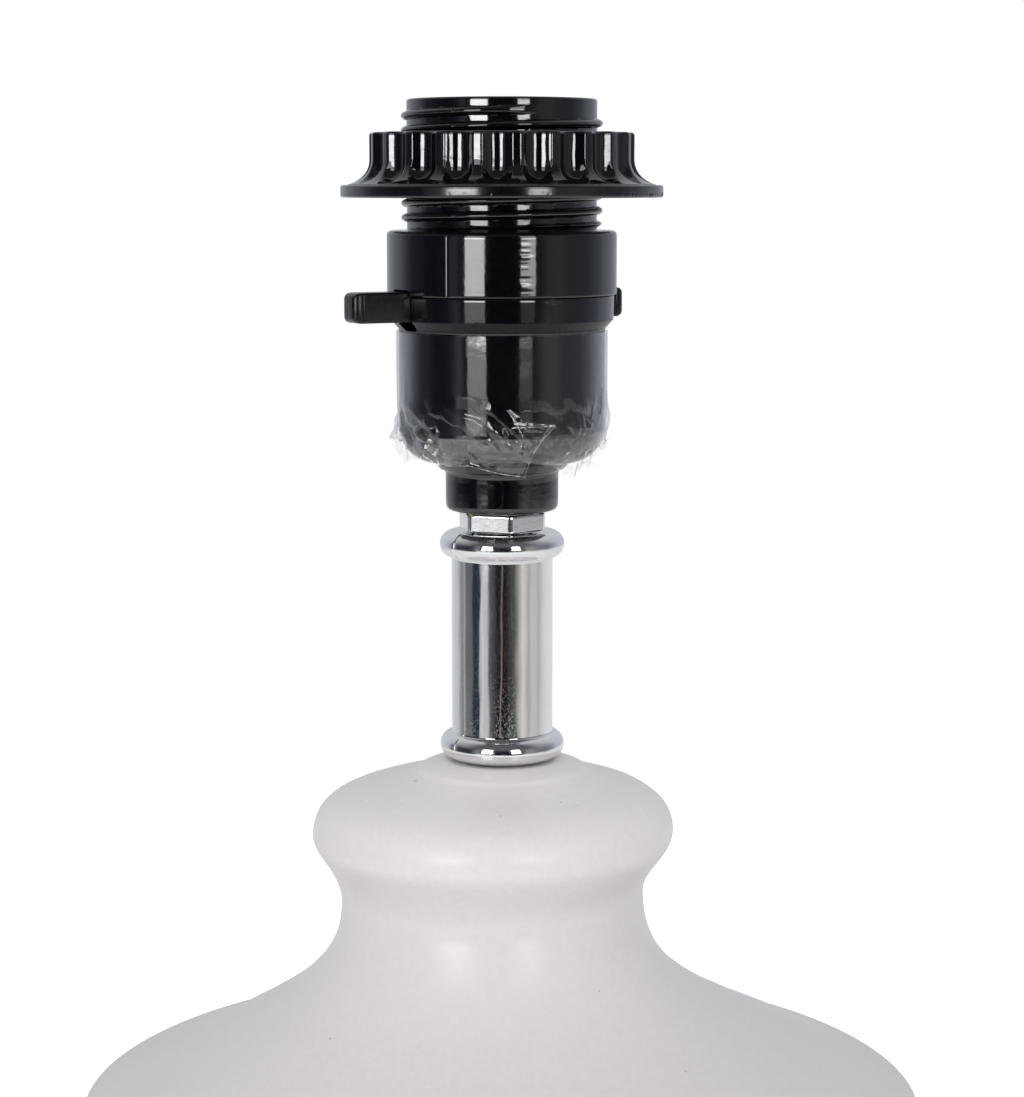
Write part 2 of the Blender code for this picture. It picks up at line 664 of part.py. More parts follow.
def make_cap_outline():
    """The cap's outer side, from the rim down to the tip of its neck."""
    rim_radius = CAP_DRUM_RADIUS
    neck_top = CAP_BOTTOM + CAP_NECK_LENGTH
    corner = CAP_CUP_CORNER
    floor_edge = neck_top + CAP_CUP_FLOOR_RISE
    centre = (CAP_CUP_RADIUS - corner, floor_edge + corner)
    points = [(rim_radius - CAP_RIM_EDGE, CAP_TOP), (rim_radius, CAP_TOP - CAP_RIM_EDGE),
              (rim_radius, CUP_TOP + CAP_CHAMFER_HEIGHT), (CAP_CUP_RADIUS, CUP_TOP)]
    points += arc(centre, corner, 0, -90, 4)
    points += arc((CAP_NECK_RADIUS + CAP_NECK_FILLET, neck_top - CAP_NECK_FILLET),
                  CAP_NECK_FILLET, 90, 180, 2)
    points += arc((CAP_NECK_TIP_RADIUS - CAP_NECK_EDGE, CAP_BOTTOM + CAP_NECK_EDGE),
                  CAP_NECK_EDGE, 0, -90, 2)
    return points


def make_socket_cap(parts, cutters, material):
    shoulder = CUP_TOP + CAP_CHAMFER_HEIGHT / 2
    corner = CAP_CUP_CORNER - CAP_WALL
    profile = make_cap_outline()
    profile += [(CAP_NECK_BORE_RADIUS, CAP_BOTTOM), (CAP_NECK_BORE_RADIUS, CUP_FLOOR)]
    profile += arc((CAP_CUP_BORE_RADIUS - corner, CUP_FLOOR + corner), corner, -90, 0, 3)
    profile += [(CAP_CUP_BORE_RADIUS, shoulder), (CAP_DRUM_BORE_RADIUS, shoulder),
                (CAP_DRUM_BORE_RADIUS, CAP_TOP)]
    cap = turned("socket_cap", profile, parts, material, SOCKET_SIDE_COUNT, closed=True)
    post_low = CAP_TOP - POST_LENGTH
    for side, label in ((-1, "front"), (1, "back")):
        y = side * ASSEMBLY_PLACE
        wall = side * (CAP_CUP_BORE_RADIUS + CAP_WALL / 2)
        post = rod("cap_post_" + label, POST_RADIUS, (0, y, post_low), (0, y, CAP_TOP), "Z", cutters)
        rib = block("cap_rib_" + label,
                    (-POST_RIB_WIDTH / 2, min(y, wall), post_low),
                    (POST_RIB_WIDTH / 2, max(y, wall), shoulder - POST_RIB_DROP), cutters)
        combine(cap, post, "UNION")
        combine(cap, rib, "UNION")
        hole = rod("cap_hole_" + label, ASSEMBLY_RADIUS + SEAT_GAP,
                   (0, y, post_low - CUT_OVERRUN), (0, y, CAP_TOP + CUT_OVERRUN), "Z", cutters)
        combine(cap, hole, "DIFFERENCE")
    combine(cap, make_bar_channel(cutters), "DIFFERENCE")
    shade(cap)
    return cap


def make_bar_channel(cutters):
    """The through slot for the bar: a round-cornered U in the rim, cut along X."""
    half = BAR_WIDTH / 2 + SLIDE_GAP
    low = BAR_BOTTOM - BAR_NOTCH_DROP
    corner = BAR_NOTCH_CORNER
    outline = [(half, CAP_TOP + CUT_OVERRUN), (-half, CAP_TOP + CUT_OVERRUN)]
    outline += arc((-half + corner, low + corner), corner, 180, 270)
    outline += arc((half - corner, low + corner), corner, 270, 360)
    channel = plate("bar_channel", outline, 2 * (CAP_DRUM_RADIUS + CUT_OVERRUN), cutters)
    turn = Matrix(((0, 0, 1), (1, 0, 0), (0, 1, 0))).to_4x4()
    channel.matrix_world = turn
    return frozen(channel)


def make_cap_bushing(parts, material):
    low = CAP_BOTTOM + BUSHING_TIP_INSET
    edge = WASHER_EDGE
    profile = [(BUSHING_BORE_RADIUS, BUSHING_TOP), (BUSHING_FLANGE_RADIUS - edge, BUSHING_TOP),
               (BUSHING_FLANGE_RADIUS, BUSHING_TOP - edge),
               (BUSHING_FLANGE_RADIUS, BUSHING_FLANGE_BOTTOM),
               (BUSHING_RADIUS, BUSHING_FLANGE_BOTTOM), (BUSHING_RADIUS, low + edge),
               (BUSHING_RADIUS - edge, low), (BUSHING_BORE_RADIUS, low)]
    return turned("cap_bushing", profile, parts, material, SMALL_SIDE_COUNT, closed=True)


def make_label_film(parts, material):
    """A thin sleeve whose lower edge is torn and tucks in under the cup."""
    inner = CAP_CUP_RADIUS + FILM_GAP
    top = CUP_TOP - FILM_TOP_DROP
    mesh = bpy.data.meshes.new("label_film")
    sheet = bmesh.new()
    rings = []
    for row in range(FILM_ROW_COUNT + 1):
        ring = []
        for step in range(SOCKET_SIDE_COUNT):
            angle = 2 * math.pi * step / SOCKET_SIDE_COUNT
            rag = FILM_RAG * (math.cos(FILM_WAVE_COUNT * angle) + math.sin(FILM_TEAR_COUNT * angle)) / 2
            drop = FILM_TUCK_START
            if row > 1:
                drop += (FILM_LENGTH + rag - FILM_TUCK_START) * (row - 1) / (FILM_ROW_COUNT - 1)
            if row == 0:
                drop = 0
            below = max(0.0, drop - FILM_TUCK_START) / (FILM_LENGTH - FILM_TUCK_START)
            tuck = FILM_TUCK * below ** 2
            radius = inner + FILM_THICKNESS - tuck
            ring.append(sheet.verts.new((radius * math.cos(angle), radius * math.sin(angle),
                                         top - drop)))
        rings.append(ring)
    for upper, lower in zip(rings, rings[1:]):
        for step in range(SOCKET_SIDE_COUNT):
            after = (step + 1) % SOCKET_SIDE_COUNT
            sheet.faces.new((upper[step], lower[step], lower[after], upper[after]))
    sheet.to_mesh(mesh)
    sheet.free()
    film = place(bpy.data.objects.new("label_film", mesh), parts, material)
    shell = film.modifiers.new("Sheet", "SOLIDIFY")
    shell.thickness = FILM_THICKNESS
    shell.offset = -1.0
    shell.use_even_offset = True
    shade(film)
    return film


def make_socket_shell(parts, cutters, material):
    collar_low = BARREL_TOP - BARREL_COLLAR_LENGTH
    thread_step = BARREL_CREST_RADIUS - BARREL_CORE_RADIUS
    inner = DRUM_RADIUS - DRUM_WALL
    profile = [(0, WEB_TOP), (BARREL_BORE_RADIUS, WEB_TOP),
               (BARREL_BORE_RADIUS, BARREL_TOP - BARREL_RIM_EDGE),
               (BARREL_BORE_RADIUS + BARREL_RIM_EDGE, BARREL_TOP)]
    profile += arc((BARREL_RIM_RADIUS - BARREL_RIM_EDGE, BARREL_TOP - BARREL_RIM_EDGE),
                   BARREL_RIM_EDGE, 90, 0, 2)
    profile += [(BARREL_RIM_RADIUS, collar_low), (BARREL_CREST_RADIUS, collar_low - thread_step),
                (BARREL_CREST_RADIUS, DRUM_TOP)]
    profile += arc((DRUM_RADIUS - DRUM_EDGE, DRUM_TOP - DRUM_EDGE), DRUM_EDGE, 90, 0, 2)
    profile += [(DRUM_RADIUS, SHELL_BOTTOM + CAP_RIM_EDGE), (DRUM_RADIUS - CAP_RIM_EDGE, SHELL_BOTTOM),
                (inner, SHELL_BOTTOM), (inner, WEB_BOTTOM), (0, WEB_BOTTOM)]
    shell = turned("socket_shell", profile, parts, material, SOCKET_SIDE_COUNT)
    low = WEB_BOTTOM - CUT_OVERRUN
    high = WEB_TOP + CUT_OVERRUN
    screw_hole = ASSEMBLY_RADIUS + SEAT_GAP
    rivet_hole = RIVET_RADIUS + SEAT_GAP
    holes = (("screw_front", 0, -ASSEMBLY_PLACE, screw_hole),
             ("screw_back", 0, ASSEMBLY_PLACE, screw_hole),
             ("rivet_contact", CONTACT_RIVET_PLACE, 0, rivet_hole),
             ("rivet_left", -SHELL_RIVET_PLACE, 0, rivet_hole),
             ("rivet_right", SHELL_RIVET_PLACE, 0, rivet_hole))
    for label, x, y, radius in holes:
        hole = rod("web_" + label, radius, (x, y, low), (x, y, high), "Z", cutters,
                   sides=FASTENER_SIDE_COUNT)
        combine(shell, hole, "DIFFERENCE")
    reach = DRUM_RADIUS + CUT_OVERRUN
    half = BAR_WIDTH / 2 + SLIDE_GAP
    notch = block("shell_notch", (-reach, -half, SHELL_BOTTOM - CUT_OVERRUN),
                  (reach, half, BAR_TOP + SLIDE_GAP), cutters)
    combine(shell, notch, "DIFFERENCE")
    shade(shell)
    return shell


def make_shade_ring(parts, cutters, material):
    """A flanged ring with a flared foot and upright flutes that end in a half round."""
    flange_top = RING_BOTTOM + RING_FLANGE_THICKNESS
    flare_top = flange_top + RING_FLARE_HEIGHT
    fall = flare_top - flange_top
    spread = RING_FLANGE_RADIUS - RING_FLANGE_EDGE - RING_TOP_RADIUS
    edge = RING_FLANGE_EDGE
    profile = [(RING_BORE_RADIUS + RING_BORE_CHAMFER, RING_TOP)]
    profile += arc((RING_TOP_RADIUS - RING_TOP_EDGE, RING_TOP - RING_TOP_EDGE),
                   RING_TOP_EDGE, 90, 0, 2)
    profile += bezier((RING_TOP_RADIUS, flare_top),
                      (RING_TOP_RADIUS, flare_top - fall * RING_FLARE_HANDLE_SHARES[0]),
                      (RING_TOP_RADIUS + spread * RING_FLARE_HANDLE_SHARES[1], flange_top),
                      (RING_TOP_RADIUS + spread, flange_top), 4)
    profile += [(RING_FLANGE_RADIUS, flange_top - edge), (RING_FLANGE_RADIUS, RING_BOTTOM + edge),
                (RING_FLANGE_RADIUS - edge, RING_BOTTOM),
                (RING_BORE_RADIUS + RING_BORE_CHAMFER, RING_BOTTOM),
                (RING_BORE_RADIUS, RING_BOTTOM + RING_BORE_CHAMFER),
                (RING_BORE_RADIUS, RING_TOP - RING_BORE_CHAMFER)]
    ring = turned("shade_ring", profile, parts, material, RING_SIDE_COUNT, closed=True)
    centre = FLUTE_FLOOR_RADIUS + FLUTE_RADIUS
    end_height = flange_top + FLUTE_END_RISE + FLUTE_RADIUS
    flutes = bpy.data.meshes.new("ring_flutes")
    tools = bmesh.new()
    for index in range(FLUTE_COUNT):
        angle = 2 * math.pi * (index + FLUTE_TURN_SHARE) / FLUTE_COUNT
        add_flute(tools, centre, angle, end_height)
    tools.to_mesh(flutes)
    tools.free()
    cutter = place(bpy.data.objects.new("ring_flutes", flutes), cutters)
    combine(ring, cutter, "DIFFERENCE")
    shade(ring)
    return ring


def add_flute(tools, centre, angle, end_height):
    """One upright round-nosed cutter, as tall as the ring needs."""
    made = bmesh.ops.create_uvsphere(tools, u_segments=8, v_segments=6, radius=FLUTE_RADIUS)
    stretch = RING_TOP + CUT_OVERRUN - end_height
    for vert in made["verts"]:
        if vert.co.z > SEAT_GAP / 100:
            vert.co.z = vert.co.z + stretch
    turn = Matrix.Rotation(angle, 4, "Z") @ Matrix.Translation((centre, 0, end_height))
    bmesh.ops.transform(tools, matrix=turn, verts=made["verts"])


def make_screw_shell(parts, cutters, material):
    outer = SCREW_SHELL_RADIUS
    inner = outer - SCREW_SHELL_SHEET
    low = WEB_TOP + SEAT_GAP
    top = low + SCREW_SHELL_HEIGHT
    bend = SCREW_SHELL_FLOOR_BEND
    profile = [(inner, top), (outer, top)]
    profile += arc((outer - bend, low + bend), bend, 0, -90, 2)
    profile += [(SCREW_SHELL_FLOOR_HOLE, low), (SCREW_SHELL_FLOOR_HOLE, low + SCREW_SHELL_SHEET)]
    profile += arc((outer - bend, low + bend), bend - SCREW_SHELL_SHEET, -90, 0, 2)
    shell = turned("screw_shell", profile, parts, material, NECK_SIDE_COUNT, closed=True)
    for side, label in ((-1, "left"), (1, "right")):
        x = side * SHELL_RIVET_PLACE
        hole = rod("screw_shell_hole_" + label, RIVET_RADIUS + SEAT_GAP,
                   (x, 0, low - CUT_OVERRUN), (x, 0, low + SCREW_SHELL_SHEET + CUT_OVERRUN),
                   "Z", cutters, sides=FASTENER_SIDE_COUNT)
        combine(shell, hole, "DIFFERENCE")
    shade(shell)
    return shell


def make_insulator(parts, cutters, material):
    edge = INSULATOR_EDGE
    profile = [(0, INSULATOR_TOP), (INSULATOR_RADIUS - edge, INSULATOR_TOP),
               (INSULATOR_RADIUS, INSULATOR_TOP - edge), (INSULATOR_RADIUS, INSULATOR_BOTTOM),
               (0, INSULATOR_BOTTOM)]
    disc = turned("insulator_disc", profile, parts, material, NECK_SIDE_COUNT)
    low = INSULATOR_BOTTOM - CUT_OVERRUN
    high = INSULATOR_TOP + CUT_OVERRUN
    for label, x, y, radius in (("front", 0, -ASSEMBLY_PLACE, ASSEMBLY_RADIUS),
                                ("back", 0, ASSEMBLY_PLACE, ASSEMBLY_RADIUS),
                                ("contact", CONTACT_RIVET_PLACE, 0, RIVET_RADIUS)):
        hole = rod("insulator_hole_" + label, radius + SEAT_GAP, (x, y, low), (x, y, high), "Z",
                   cutters, sides=FASTENER_SIDE_COUNT)
        combine(disc, hole, "DIFFERENCE")
    shade(disc)
    return disc


def make_centre_contact(parts, cutters, material):
    """A springy tongue, fixed at one side and sprung up in the middle."""
    level = INSULATOR_TOP + SEAT_GAP + CONTACT_SHEET / 2
    path = [(CONTACT_REACH, level), (CONTACT_FLAT_END, level), (0, level + CONTACT_RISE),
            (-CONTACT_TIP_REACH, level + CONTACT_RISE - CONTACT_TIP_DROP)]
    tongue = plate("centre_contact", strip_outline(path, CONTACT_SHEET), CONTACT_WIDTH, parts,
                   material)
    tongue.rotation_euler = (math.radians(90), 0, 0)
    bpy.context.view_layer.update()
    tongue = frozen(tongue)
    hole = rod("contact_hole", RIVET_RADIUS + SEAT_GAP,
               (CONTACT_RIVET_PLACE, 0, INSULATOR_TOP),
               (CONTACT_RIVET_PLACE, 0, level + CUT_OVERRUN), "Z", cutters, sides=FASTENER_SIDE_COUNT)
    combine(tongue, hole, "DIFFERENCE")
    shade(tongue)
    return tongue


def rivet_profile(head_radius, head_low, tail_high):
    """A rivet's half section: head on top, tail spread at the bottom."""
    head_top = head_low + RIVET_HEAD_THICKNESS
    tail_low = tail_high - RIVET_HEAD_THICKNESS
    crown = head_radius * RIVET_CROWN_SHARE
    return [(0, head_top), (crown, head_top), (head_radius, head_low), (RIVET_RADIUS, head_low),
            (RIVET_RADIUS, tail_high), (head_radius, tail_high), (crown, tail_low), (0, tail_low)]


def make_rivets(parts, material):
    contact_head = INSULATOR_TOP + 2 * SEAT_GAP + CONTACT_SHEET
    tail = TAB_BOTTOM - SEAT_GAP
    contact = turned("contact_rivet", rivet_profile(RIVET_HEAD_RADIUS, contact_head, tail), parts,
                     material, FASTENER_SIDE_COUNT)
    contact.location = (CONTACT_RIVET_PLACE, 0, 0)
    shell_head = WEB_TOP + 2 * SEAT_GAP + SCREW_SHELL_SHEET
    profile = rivet_profile(SHELL_RIVET_HEAD_RADIUS, shell_head, tail)
    for side, label in ((-1, "left"), (1, "right")):
        rivet = turned("shell_rivet_" + label, profile, parts, material, FASTENER_SIDE_COUNT)
        rivet.location = (side * SHELL_RIVET_PLACE, 0, 0)


def make_assembly_screws(parts, cutters, material):
    head_low = INSULATOR_TOP + SEAT_GAP
    tip = CAP_TOP - ASSEMBLY_BITE
    head_top = head_low + ASSEMBLY_HEAD_THICKNESS
    profile = [(0, head_top), (ASSEMBLY_HEAD_RADIUS - WASHER_EDGE, head_top),
               (ASSEMBLY_HEAD_RADIUS, head_top - WASHER_EDGE), (ASSEMBLY_HEAD_RADIUS, head_low),
               (ASSEMBLY_RADIUS, head_low), (ASSEMBLY_RADIUS, tip + ASSEMBLY_RADIUS / 2),
               (ASSEMBLY_RADIUS / 2, tip), (0, tip)]
    for side, label in ((-1, "front"), (1, "back")):
        y = side * ASSEMBLY_PLACE
        screw = turned("assembly_screw_" + label, profile, parts, material, FASTENER_SIDE_COUNT)
        screw.location = (0, y, 0)
        slot = block("assembly_slot_" + label,
                     (-ASSEMBLY_HEAD_RADIUS - CUT_OVERRUN, y - SLOT_WIDTH / 2,
                      head_top - SLOT_DEPTH),
                     (ASSEMBLY_HEAD_RADIUS + CUT_OVERRUN, y + SLOT_WIDTH / 2,
                      head_top + CUT_OVERRUN), cutters)
        combine(screw, slot, "DIFFERENCE")
        shade(screw)


def make_switch_bar(parts, cutters, material):
    """A square bar with tapered ends, two detent notches and a seat for its contact."""
    left = -BAR_LEFT_REACH + BAR_TIP_LENGTH
    right = BAR_RIGHT_REACH - BAR_TIP_LENGTH
    mesh = bpy.data.meshes.new("switch_bar")
    bar = bmesh.new()
    bmesh.ops.create_cube(bar, size=1.0)
    bmesh.ops.scale(bar, vec=(right - left, BAR_WIDTH, BAR_HEIGHT), verts=bar.verts)
    ends = [face for face in bar.faces if abs(face.normal.x) > 0.5]
    bmesh.ops.inset_individual(bar, faces=ends, thickness=BAR_TIP_TAPER, depth=BAR_TIP_LENGTH)
    bmesh.ops.translate(bar, vec=((left + right) / 2, 0, 0), verts=bar.verts)
    bar.to_mesh(mesh)
    bar.free()
    obj = place(bpy.data.objects.new("switch_bar", mesh), parts, material)
    obj.location = (0, 0, BAR_CENTRE)
    bevelled(obj, BAR_EDGE)
    groove_half = BRIDGE_LENGTH / 2 + SLIDE_GAP
    groove = block("bridge_groove",
                   (BRIDGE_PLACE - groove_half, -BRIDGE_WIDTH / 2 - SLIDE_GAP,
                    BAR_BOTTOM - CUT_OVERRUN),
                   (BRIDGE_PLACE + groove_half, BRIDGE_WIDTH / 2 + SLIDE_GAP,
                    BAR_BOTTOM + BRIDGE_GROOVE_DEPTH), cutters)
    combine(obj, groove, "DIFFERENCE")
    cut_detents(obj, cutters)
    shade(obj)
    return obj


def cut_detents(bar, cutters):
    """The side groove that the spring runs in, deeper where it clicks at each end."""
    side = BAR_WIDTH / 2
    floor = side - DETENT_DEPTH
    deep = floor - DETENT_NOTCH_DEPTH
    half = DETENT_HALF_LENGTH
    over = side + CUT_OVERRUN
    far = SPRING_PLACE - BAR_TRAVEL
    groove = block("detent_groove", (far - half, floor, BAR_CENTRE - DETENT_HEIGHT / 2),
                   (SPRING_PLACE + half, over, BAR_CENTRE + DETENT_HEIGHT / 2), cutters)
    combine(bar, groove, "DIFFERENCE")
    mouth = half * (over - deep) / (side - deep)
    for label, x in (("rest", SPRING_PLACE), ("pushed", far)):
        notch = plate("detent_notch_" + label, [(x - mouth, over), (x, deep), (x + mouth, over)],
                      DETENT_HEIGHT + SLIDE_GAP, cutters)
        notch.location = (0, 0, BAR_CENTRE)
        bpy.context.view_layer.update()
        combine(bar, frozen(notch), "DIFFERENCE")


def make_bridge_contact(parts, material):
    low = (BRIDGE_PLACE - BRIDGE_LENGTH / 2, -BRIDGE_WIDTH / 2, BRIDGE_BOTTOM)
    high = (BRIDGE_PLACE + BRIDGE_LENGTH / 2, BRIDGE_WIDTH / 2, BRIDGE_BOTTOM + BRIDGE_SHEET)
    bridge = block("bridge_contact", low, high, parts, material)
    bevelled(bridge, BRIDGE_SHEET / 4, 1)
    return bridge


def make_terminals(parts, cutters, brass, nickel):
    under = BRIDGE_BOTTOM - SEAT_GAP - BLADE_SHEET / 2
    tab = TAB_TOP - BLADE_SHEET / 2
    beside = BAR_WIDTH / 2 + BLADE_GAP_TO_BAR + BLADE_SHEET / 2
    foot = TAB_TOP - TERMINAL_DROP
    line = strap("line_terminal",
                 [(BLADE_TIP_REACH, under), (-beside, under), (-beside, tab),
                  (-LINE_TERMINAL_PLACE, tab), (-LINE_TERMINAL_PLACE, foot)],
                 BLADE_SHEET, BLADE_WIDTH, LINE_BLADE_PLACE, parts, brass)
    load = strap("load_contact",
                 [(-BLADE_TIP_REACH, under), (beside, under), (beside, tab),
                  (-RIVET_HEAD_RADIUS, tab)],
                 BLADE_SHEET, BLADE_WIDTH, LOAD_BLADE_PLACE, parts, brass)
    neutral = strap("neutral_terminal",
                    [(-SHELL_RIVET_HEAD_RADIUS, tab), (NEUTRAL_TERMINAL_PLACE, tab),
                     (NEUTRAL_TERMINAL_PLACE, foot)],
                    BLADE_SHEET, NEUTRAL_WIDTH, NEUTRAL_PLACE, parts, nickel)
    for obj, x in ((load, CONTACT_RIVET_PLACE), (neutral, -SHELL_RIVET_PLACE)):
        hole = rod(obj.name + "_hole", RIVET_RADIUS + SEAT_GAP, (x, 0, TAB_BOTTOM - CUT_OVERRUN),
                   (x, 0, TAB_TOP + CUT_OVERRUN / 2), "Z", cutters, sides=FASTENER_SIDE_COUNT)
        combine(obj, hole, "DIFFERENCE")
    add_terminal_screw("line_screw", line, LINE_BLADE_PLACE, -LINE_TERMINAL_PLACE, parts, cutters,
                       brass)
    add_terminal_screw("neutral_screw", neutral, NEUTRAL_PLACE, NEUTRAL_TERMINAL_PLACE, parts,
                       cutters, nickel)
    for obj in (line, load, neutral):
        shade(obj)


def add_terminal_screw(name, carrier, x, y, parts, cutters, material):
    """A slotted binding screw through the foot of a terminal, its head facing out."""
    outward = math.copysign(1.0, y)
    z = TAB_TOP - TERMINAL_SCREW_DROP
    face = abs(y) + BLADE_SHEET / 2 + SEAT_GAP
    head_top = face + TERMINAL_HEAD_THICKNESS
    tip = face - TERMINAL_SCREW_LENGTH
    profile = [(0, head_top), (TERMINAL_HEAD_RADIUS - WASHER_EDGE, head_top),
               (TERMINAL_HEAD_RADIUS, head_top - WASHER_EDGE), (TERMINAL_HEAD_RADIUS, face),
               (TERMINAL_SCREW_RADIUS, face), (TERMINAL_SCREW_RADIUS, tip), (0, tip)]
    screw = turned(name, profile, parts, material, FASTENER_SIDE_COUNT)
    screw.rotation_euler = (math.radians(-90) * outward, 0, 0)
    screw.location = (x, 0, z)
    slot = block(name + "_slot",
                 (x - SLOT_WIDTH / 2, min(outward * (head_top - SLOT_DEPTH),
                                          outward * (head_top + CUT_OVERRUN)),
                  z - TERMINAL_HEAD_RADIUS - CUT_OVERRUN),
                 (x + SLOT_WIDTH / 2, max(outward * (head_top - SLOT_DEPTH),
                                          outward * (head_top + CUT_OVERRUN)),
                  z + TERMINAL_HEAD_RADIUS + CUT_OVERRUN), cutters)
    combine(screw, slot, "DIFFERENCE")
    hole = rod(name + "_hole", TERMINAL_SCREW_RADIUS + SEAT_GAP,
               (x, outward * (face - SEAT_GAP) + BLADE_SHEET * 2, z),
               (x, outward * (face - SEAT_GAP) - BLADE_SHEET * 2, z), "Y", cutters,
               sides=FASTENER_SIDE_COUNT)
    combine(carrier, hole, "DIFFERENCE")
    shade(screw)


def make_detent_spring(parts, material):
    """A leaf that hangs from the web beside the bar and bulges into its side groove."""
    side = BAR_WIDTH / 2
    stand = side + SPRING_STANDOFF
    tab = TAB_TOP - SPRING_SHEET / 2
    tip = side - SPRING_BITE + SPRING_SHEET / 2
    bump = SPRING_BUMP_HALF_HEIGHT
    path = [(stand + SPRING_TAB, tab), (stand, tab), (stand, BAR_CENTRE + bump),
            (tip, BAR_CENTRE), (stand, BAR_CENTRE - bump), (stand, BAR_BOTTOM)]
    spring = strap("detent_spring", path, SPRING_SHEET, SPRING_WIDTH, SPRING_PLACE, parts, material)
    shade(spring)
    return spring


def build():
    clear_scene()
    parts = new_collection("ceramic_table_lamp")
    cutters = new_collection("cutters")
    felt = new_material("felt", (0.05, 0.05, 0.05), 0.95)
    glaze = new_material("satin_glaze", (0.66, 0.64, 0.62), 0.42)
    rubber = new_material("grommet_plastic", (0.03, 0.03, 0.03), 0.45)
    steel = new_material("plated_steel", (0.62, 0.62, 0.60), 0.35, 1.0)
    zinc = new_material("bright_zinc", (0.72, 0.73, 0.74), 0.25, 1.0)
    chrome = new_material("chrome", (0.85, 0.86, 0.88), 0.06, 1.0)
    phenolic = new_material("black_phenolic", (0.006, 0.006, 0.007), 0.12)
    fibre = new_material("insulating_fibre", (0.22, 0.10, 0.06), 0.75)
    brass = new_material("brass", (0.78, 0.56, 0.26), 0.28, 1.0)
    nickel = new_material("nickel", (0.70, 0.69, 0.66), 0.25, 1.0)
    shell_metal = new_material("shell_aluminium", (0.80, 0.80, 0.80), 0.30, 1.0)
    film = new_material("clear_film", (0.90, 0.92, 0.93), 0.08, 0.0, 0.9)
    make_base_pad(parts, felt)
    make_ceramic_body(parts, cutters, glaze)
    make_cord_grommet(parts, rubber)
    make_stem_hardware(parts, cutters, steel, zinc)
    make_neck_tube(parts, chrome)
    washer("neck_washer", NECK_WASHER_RADIUS, PIPE_RADIUS + SEAT_GAP, NECK_WASHER_BOTTOM,
           NECK_WASHER_THICKNESS, parts, zinc, NECK_SIDE_COUNT)
    hexagon_nut("hex_lock_nut", NUT_FLATS, PIPE_RADIUS + SEAT_GAP, NUT_BOTTOM, NUT_THICKNESS,
                NUT_TURN, parts, cutters, zinc)
    make_socket_cap(parts, cutters, phenolic)
    make_cap_bushing(parts, brass)
    make_label_film(parts, film)
    make_socket_shell(parts, cutters, phenolic)
    make_shade_ring(parts, cutters, phenolic)
    make_screw_shell(parts, cutters, shell_metal)
    make_insulator(parts, cutters, fibre)
    make_centre_contact(parts, cutters, brass)
    make_rivets(parts, brass)
    make_assembly_screws(parts, cutters, steel)
    make_switch_bar(parts, cutters, phenolic)
    make_bridge_contact(parts, brass)
    make_terminals(parts, cutters, brass, nickel)
    make_detent_spring(parts, steel)


build()
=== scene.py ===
import math

import bmesh
import bpy
from mathutils import Matrix, Vector, noise


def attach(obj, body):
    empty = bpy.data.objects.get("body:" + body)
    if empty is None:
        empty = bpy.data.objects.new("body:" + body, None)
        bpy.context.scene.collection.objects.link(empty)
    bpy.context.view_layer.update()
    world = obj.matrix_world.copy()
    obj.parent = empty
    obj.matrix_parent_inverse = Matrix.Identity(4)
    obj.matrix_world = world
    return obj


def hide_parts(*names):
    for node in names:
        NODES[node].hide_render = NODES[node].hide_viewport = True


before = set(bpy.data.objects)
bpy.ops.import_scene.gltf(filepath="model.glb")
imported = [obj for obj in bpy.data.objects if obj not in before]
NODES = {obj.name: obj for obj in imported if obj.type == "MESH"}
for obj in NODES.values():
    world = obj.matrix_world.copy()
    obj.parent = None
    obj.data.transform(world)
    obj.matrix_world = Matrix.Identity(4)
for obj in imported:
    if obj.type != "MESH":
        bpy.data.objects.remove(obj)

TURN = 2 * math.pi
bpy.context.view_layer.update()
VIEW_ANGLE = math.radians(240)  # the photograph's side, as an angle round Z

# Heights in metres
PAD_TOP = 0.0020
CERAMIC_BOTTOM, CERAMIC_TOP = 0.0023, 0.2320
NECK_BOTTOM, NECK_TOP = 0.2323, 0.27146
NUT_BOTTOM, NUT_TOP = 0.27156, 0.27476
CAP_BOTTOM, CAP_TOP = 0.27506, 0.31144
CAP_NECK_TOP = CAP_BOTTOM + 0.0071
CUP_BOTTOM, CUP_TOP = CAP_NECK_TOP + 0.0012, 0.30580
SHELL_BOTTOM, DRUM_TOP, BARREL_TOP = 0.31174, 0.32214, 0.34380
RING_BOTTOM, RING_TOP = 0.32760, 0.33830
INLET_HEIGHT = 0.0130

# Radii in metres
FOOT, FOOT_INNER, BODY_BORE = 0.0510, 0.0510 - 0.0070, 0.0070
TUBE = 0.0087
CUP, CUP_CORNER, CAP_WALL, CAP_RIM = 0.01745, 0.0058, 0.00225, 0.0189
DRUM, BARREL_BORE = 0.0193, 0.0139
THREAD_CORE, THREAD_CREST = 0.0159, 0.01685

THREAD_PITCH = 0.0024
THREAD_START = 0.33924  # where its crest starts at the photograph's side
TUBE_SEAM = math.radians(190)
CAP_SEAM = math.radians(196)
SHELL_SEAM = math.radians(212.5)


# ---------------------------------------------------------------- mesh helpers
def at(radius, angle, height):
    return (radius * math.cos(angle), radius * math.sin(angle), height)


def even_angles(steps):
    return [TURN * step / steps for step in range(steps)]


def seamed_angles(steps, *seams):
    """Even angles with extra ones close to each seam."""
    angles = even_angles(steps)
    angles += [(seam + extra * 0.005) % TURN for seam in seams for extra in range(-7, 8)]
    return sorted(set(round(angle, 5) for angle in angles))


def angle_off(angle, middle):
    """Signed difference of two angles, in -pi..pi."""
    return (angle - middle + math.pi) % TURN - math.pi


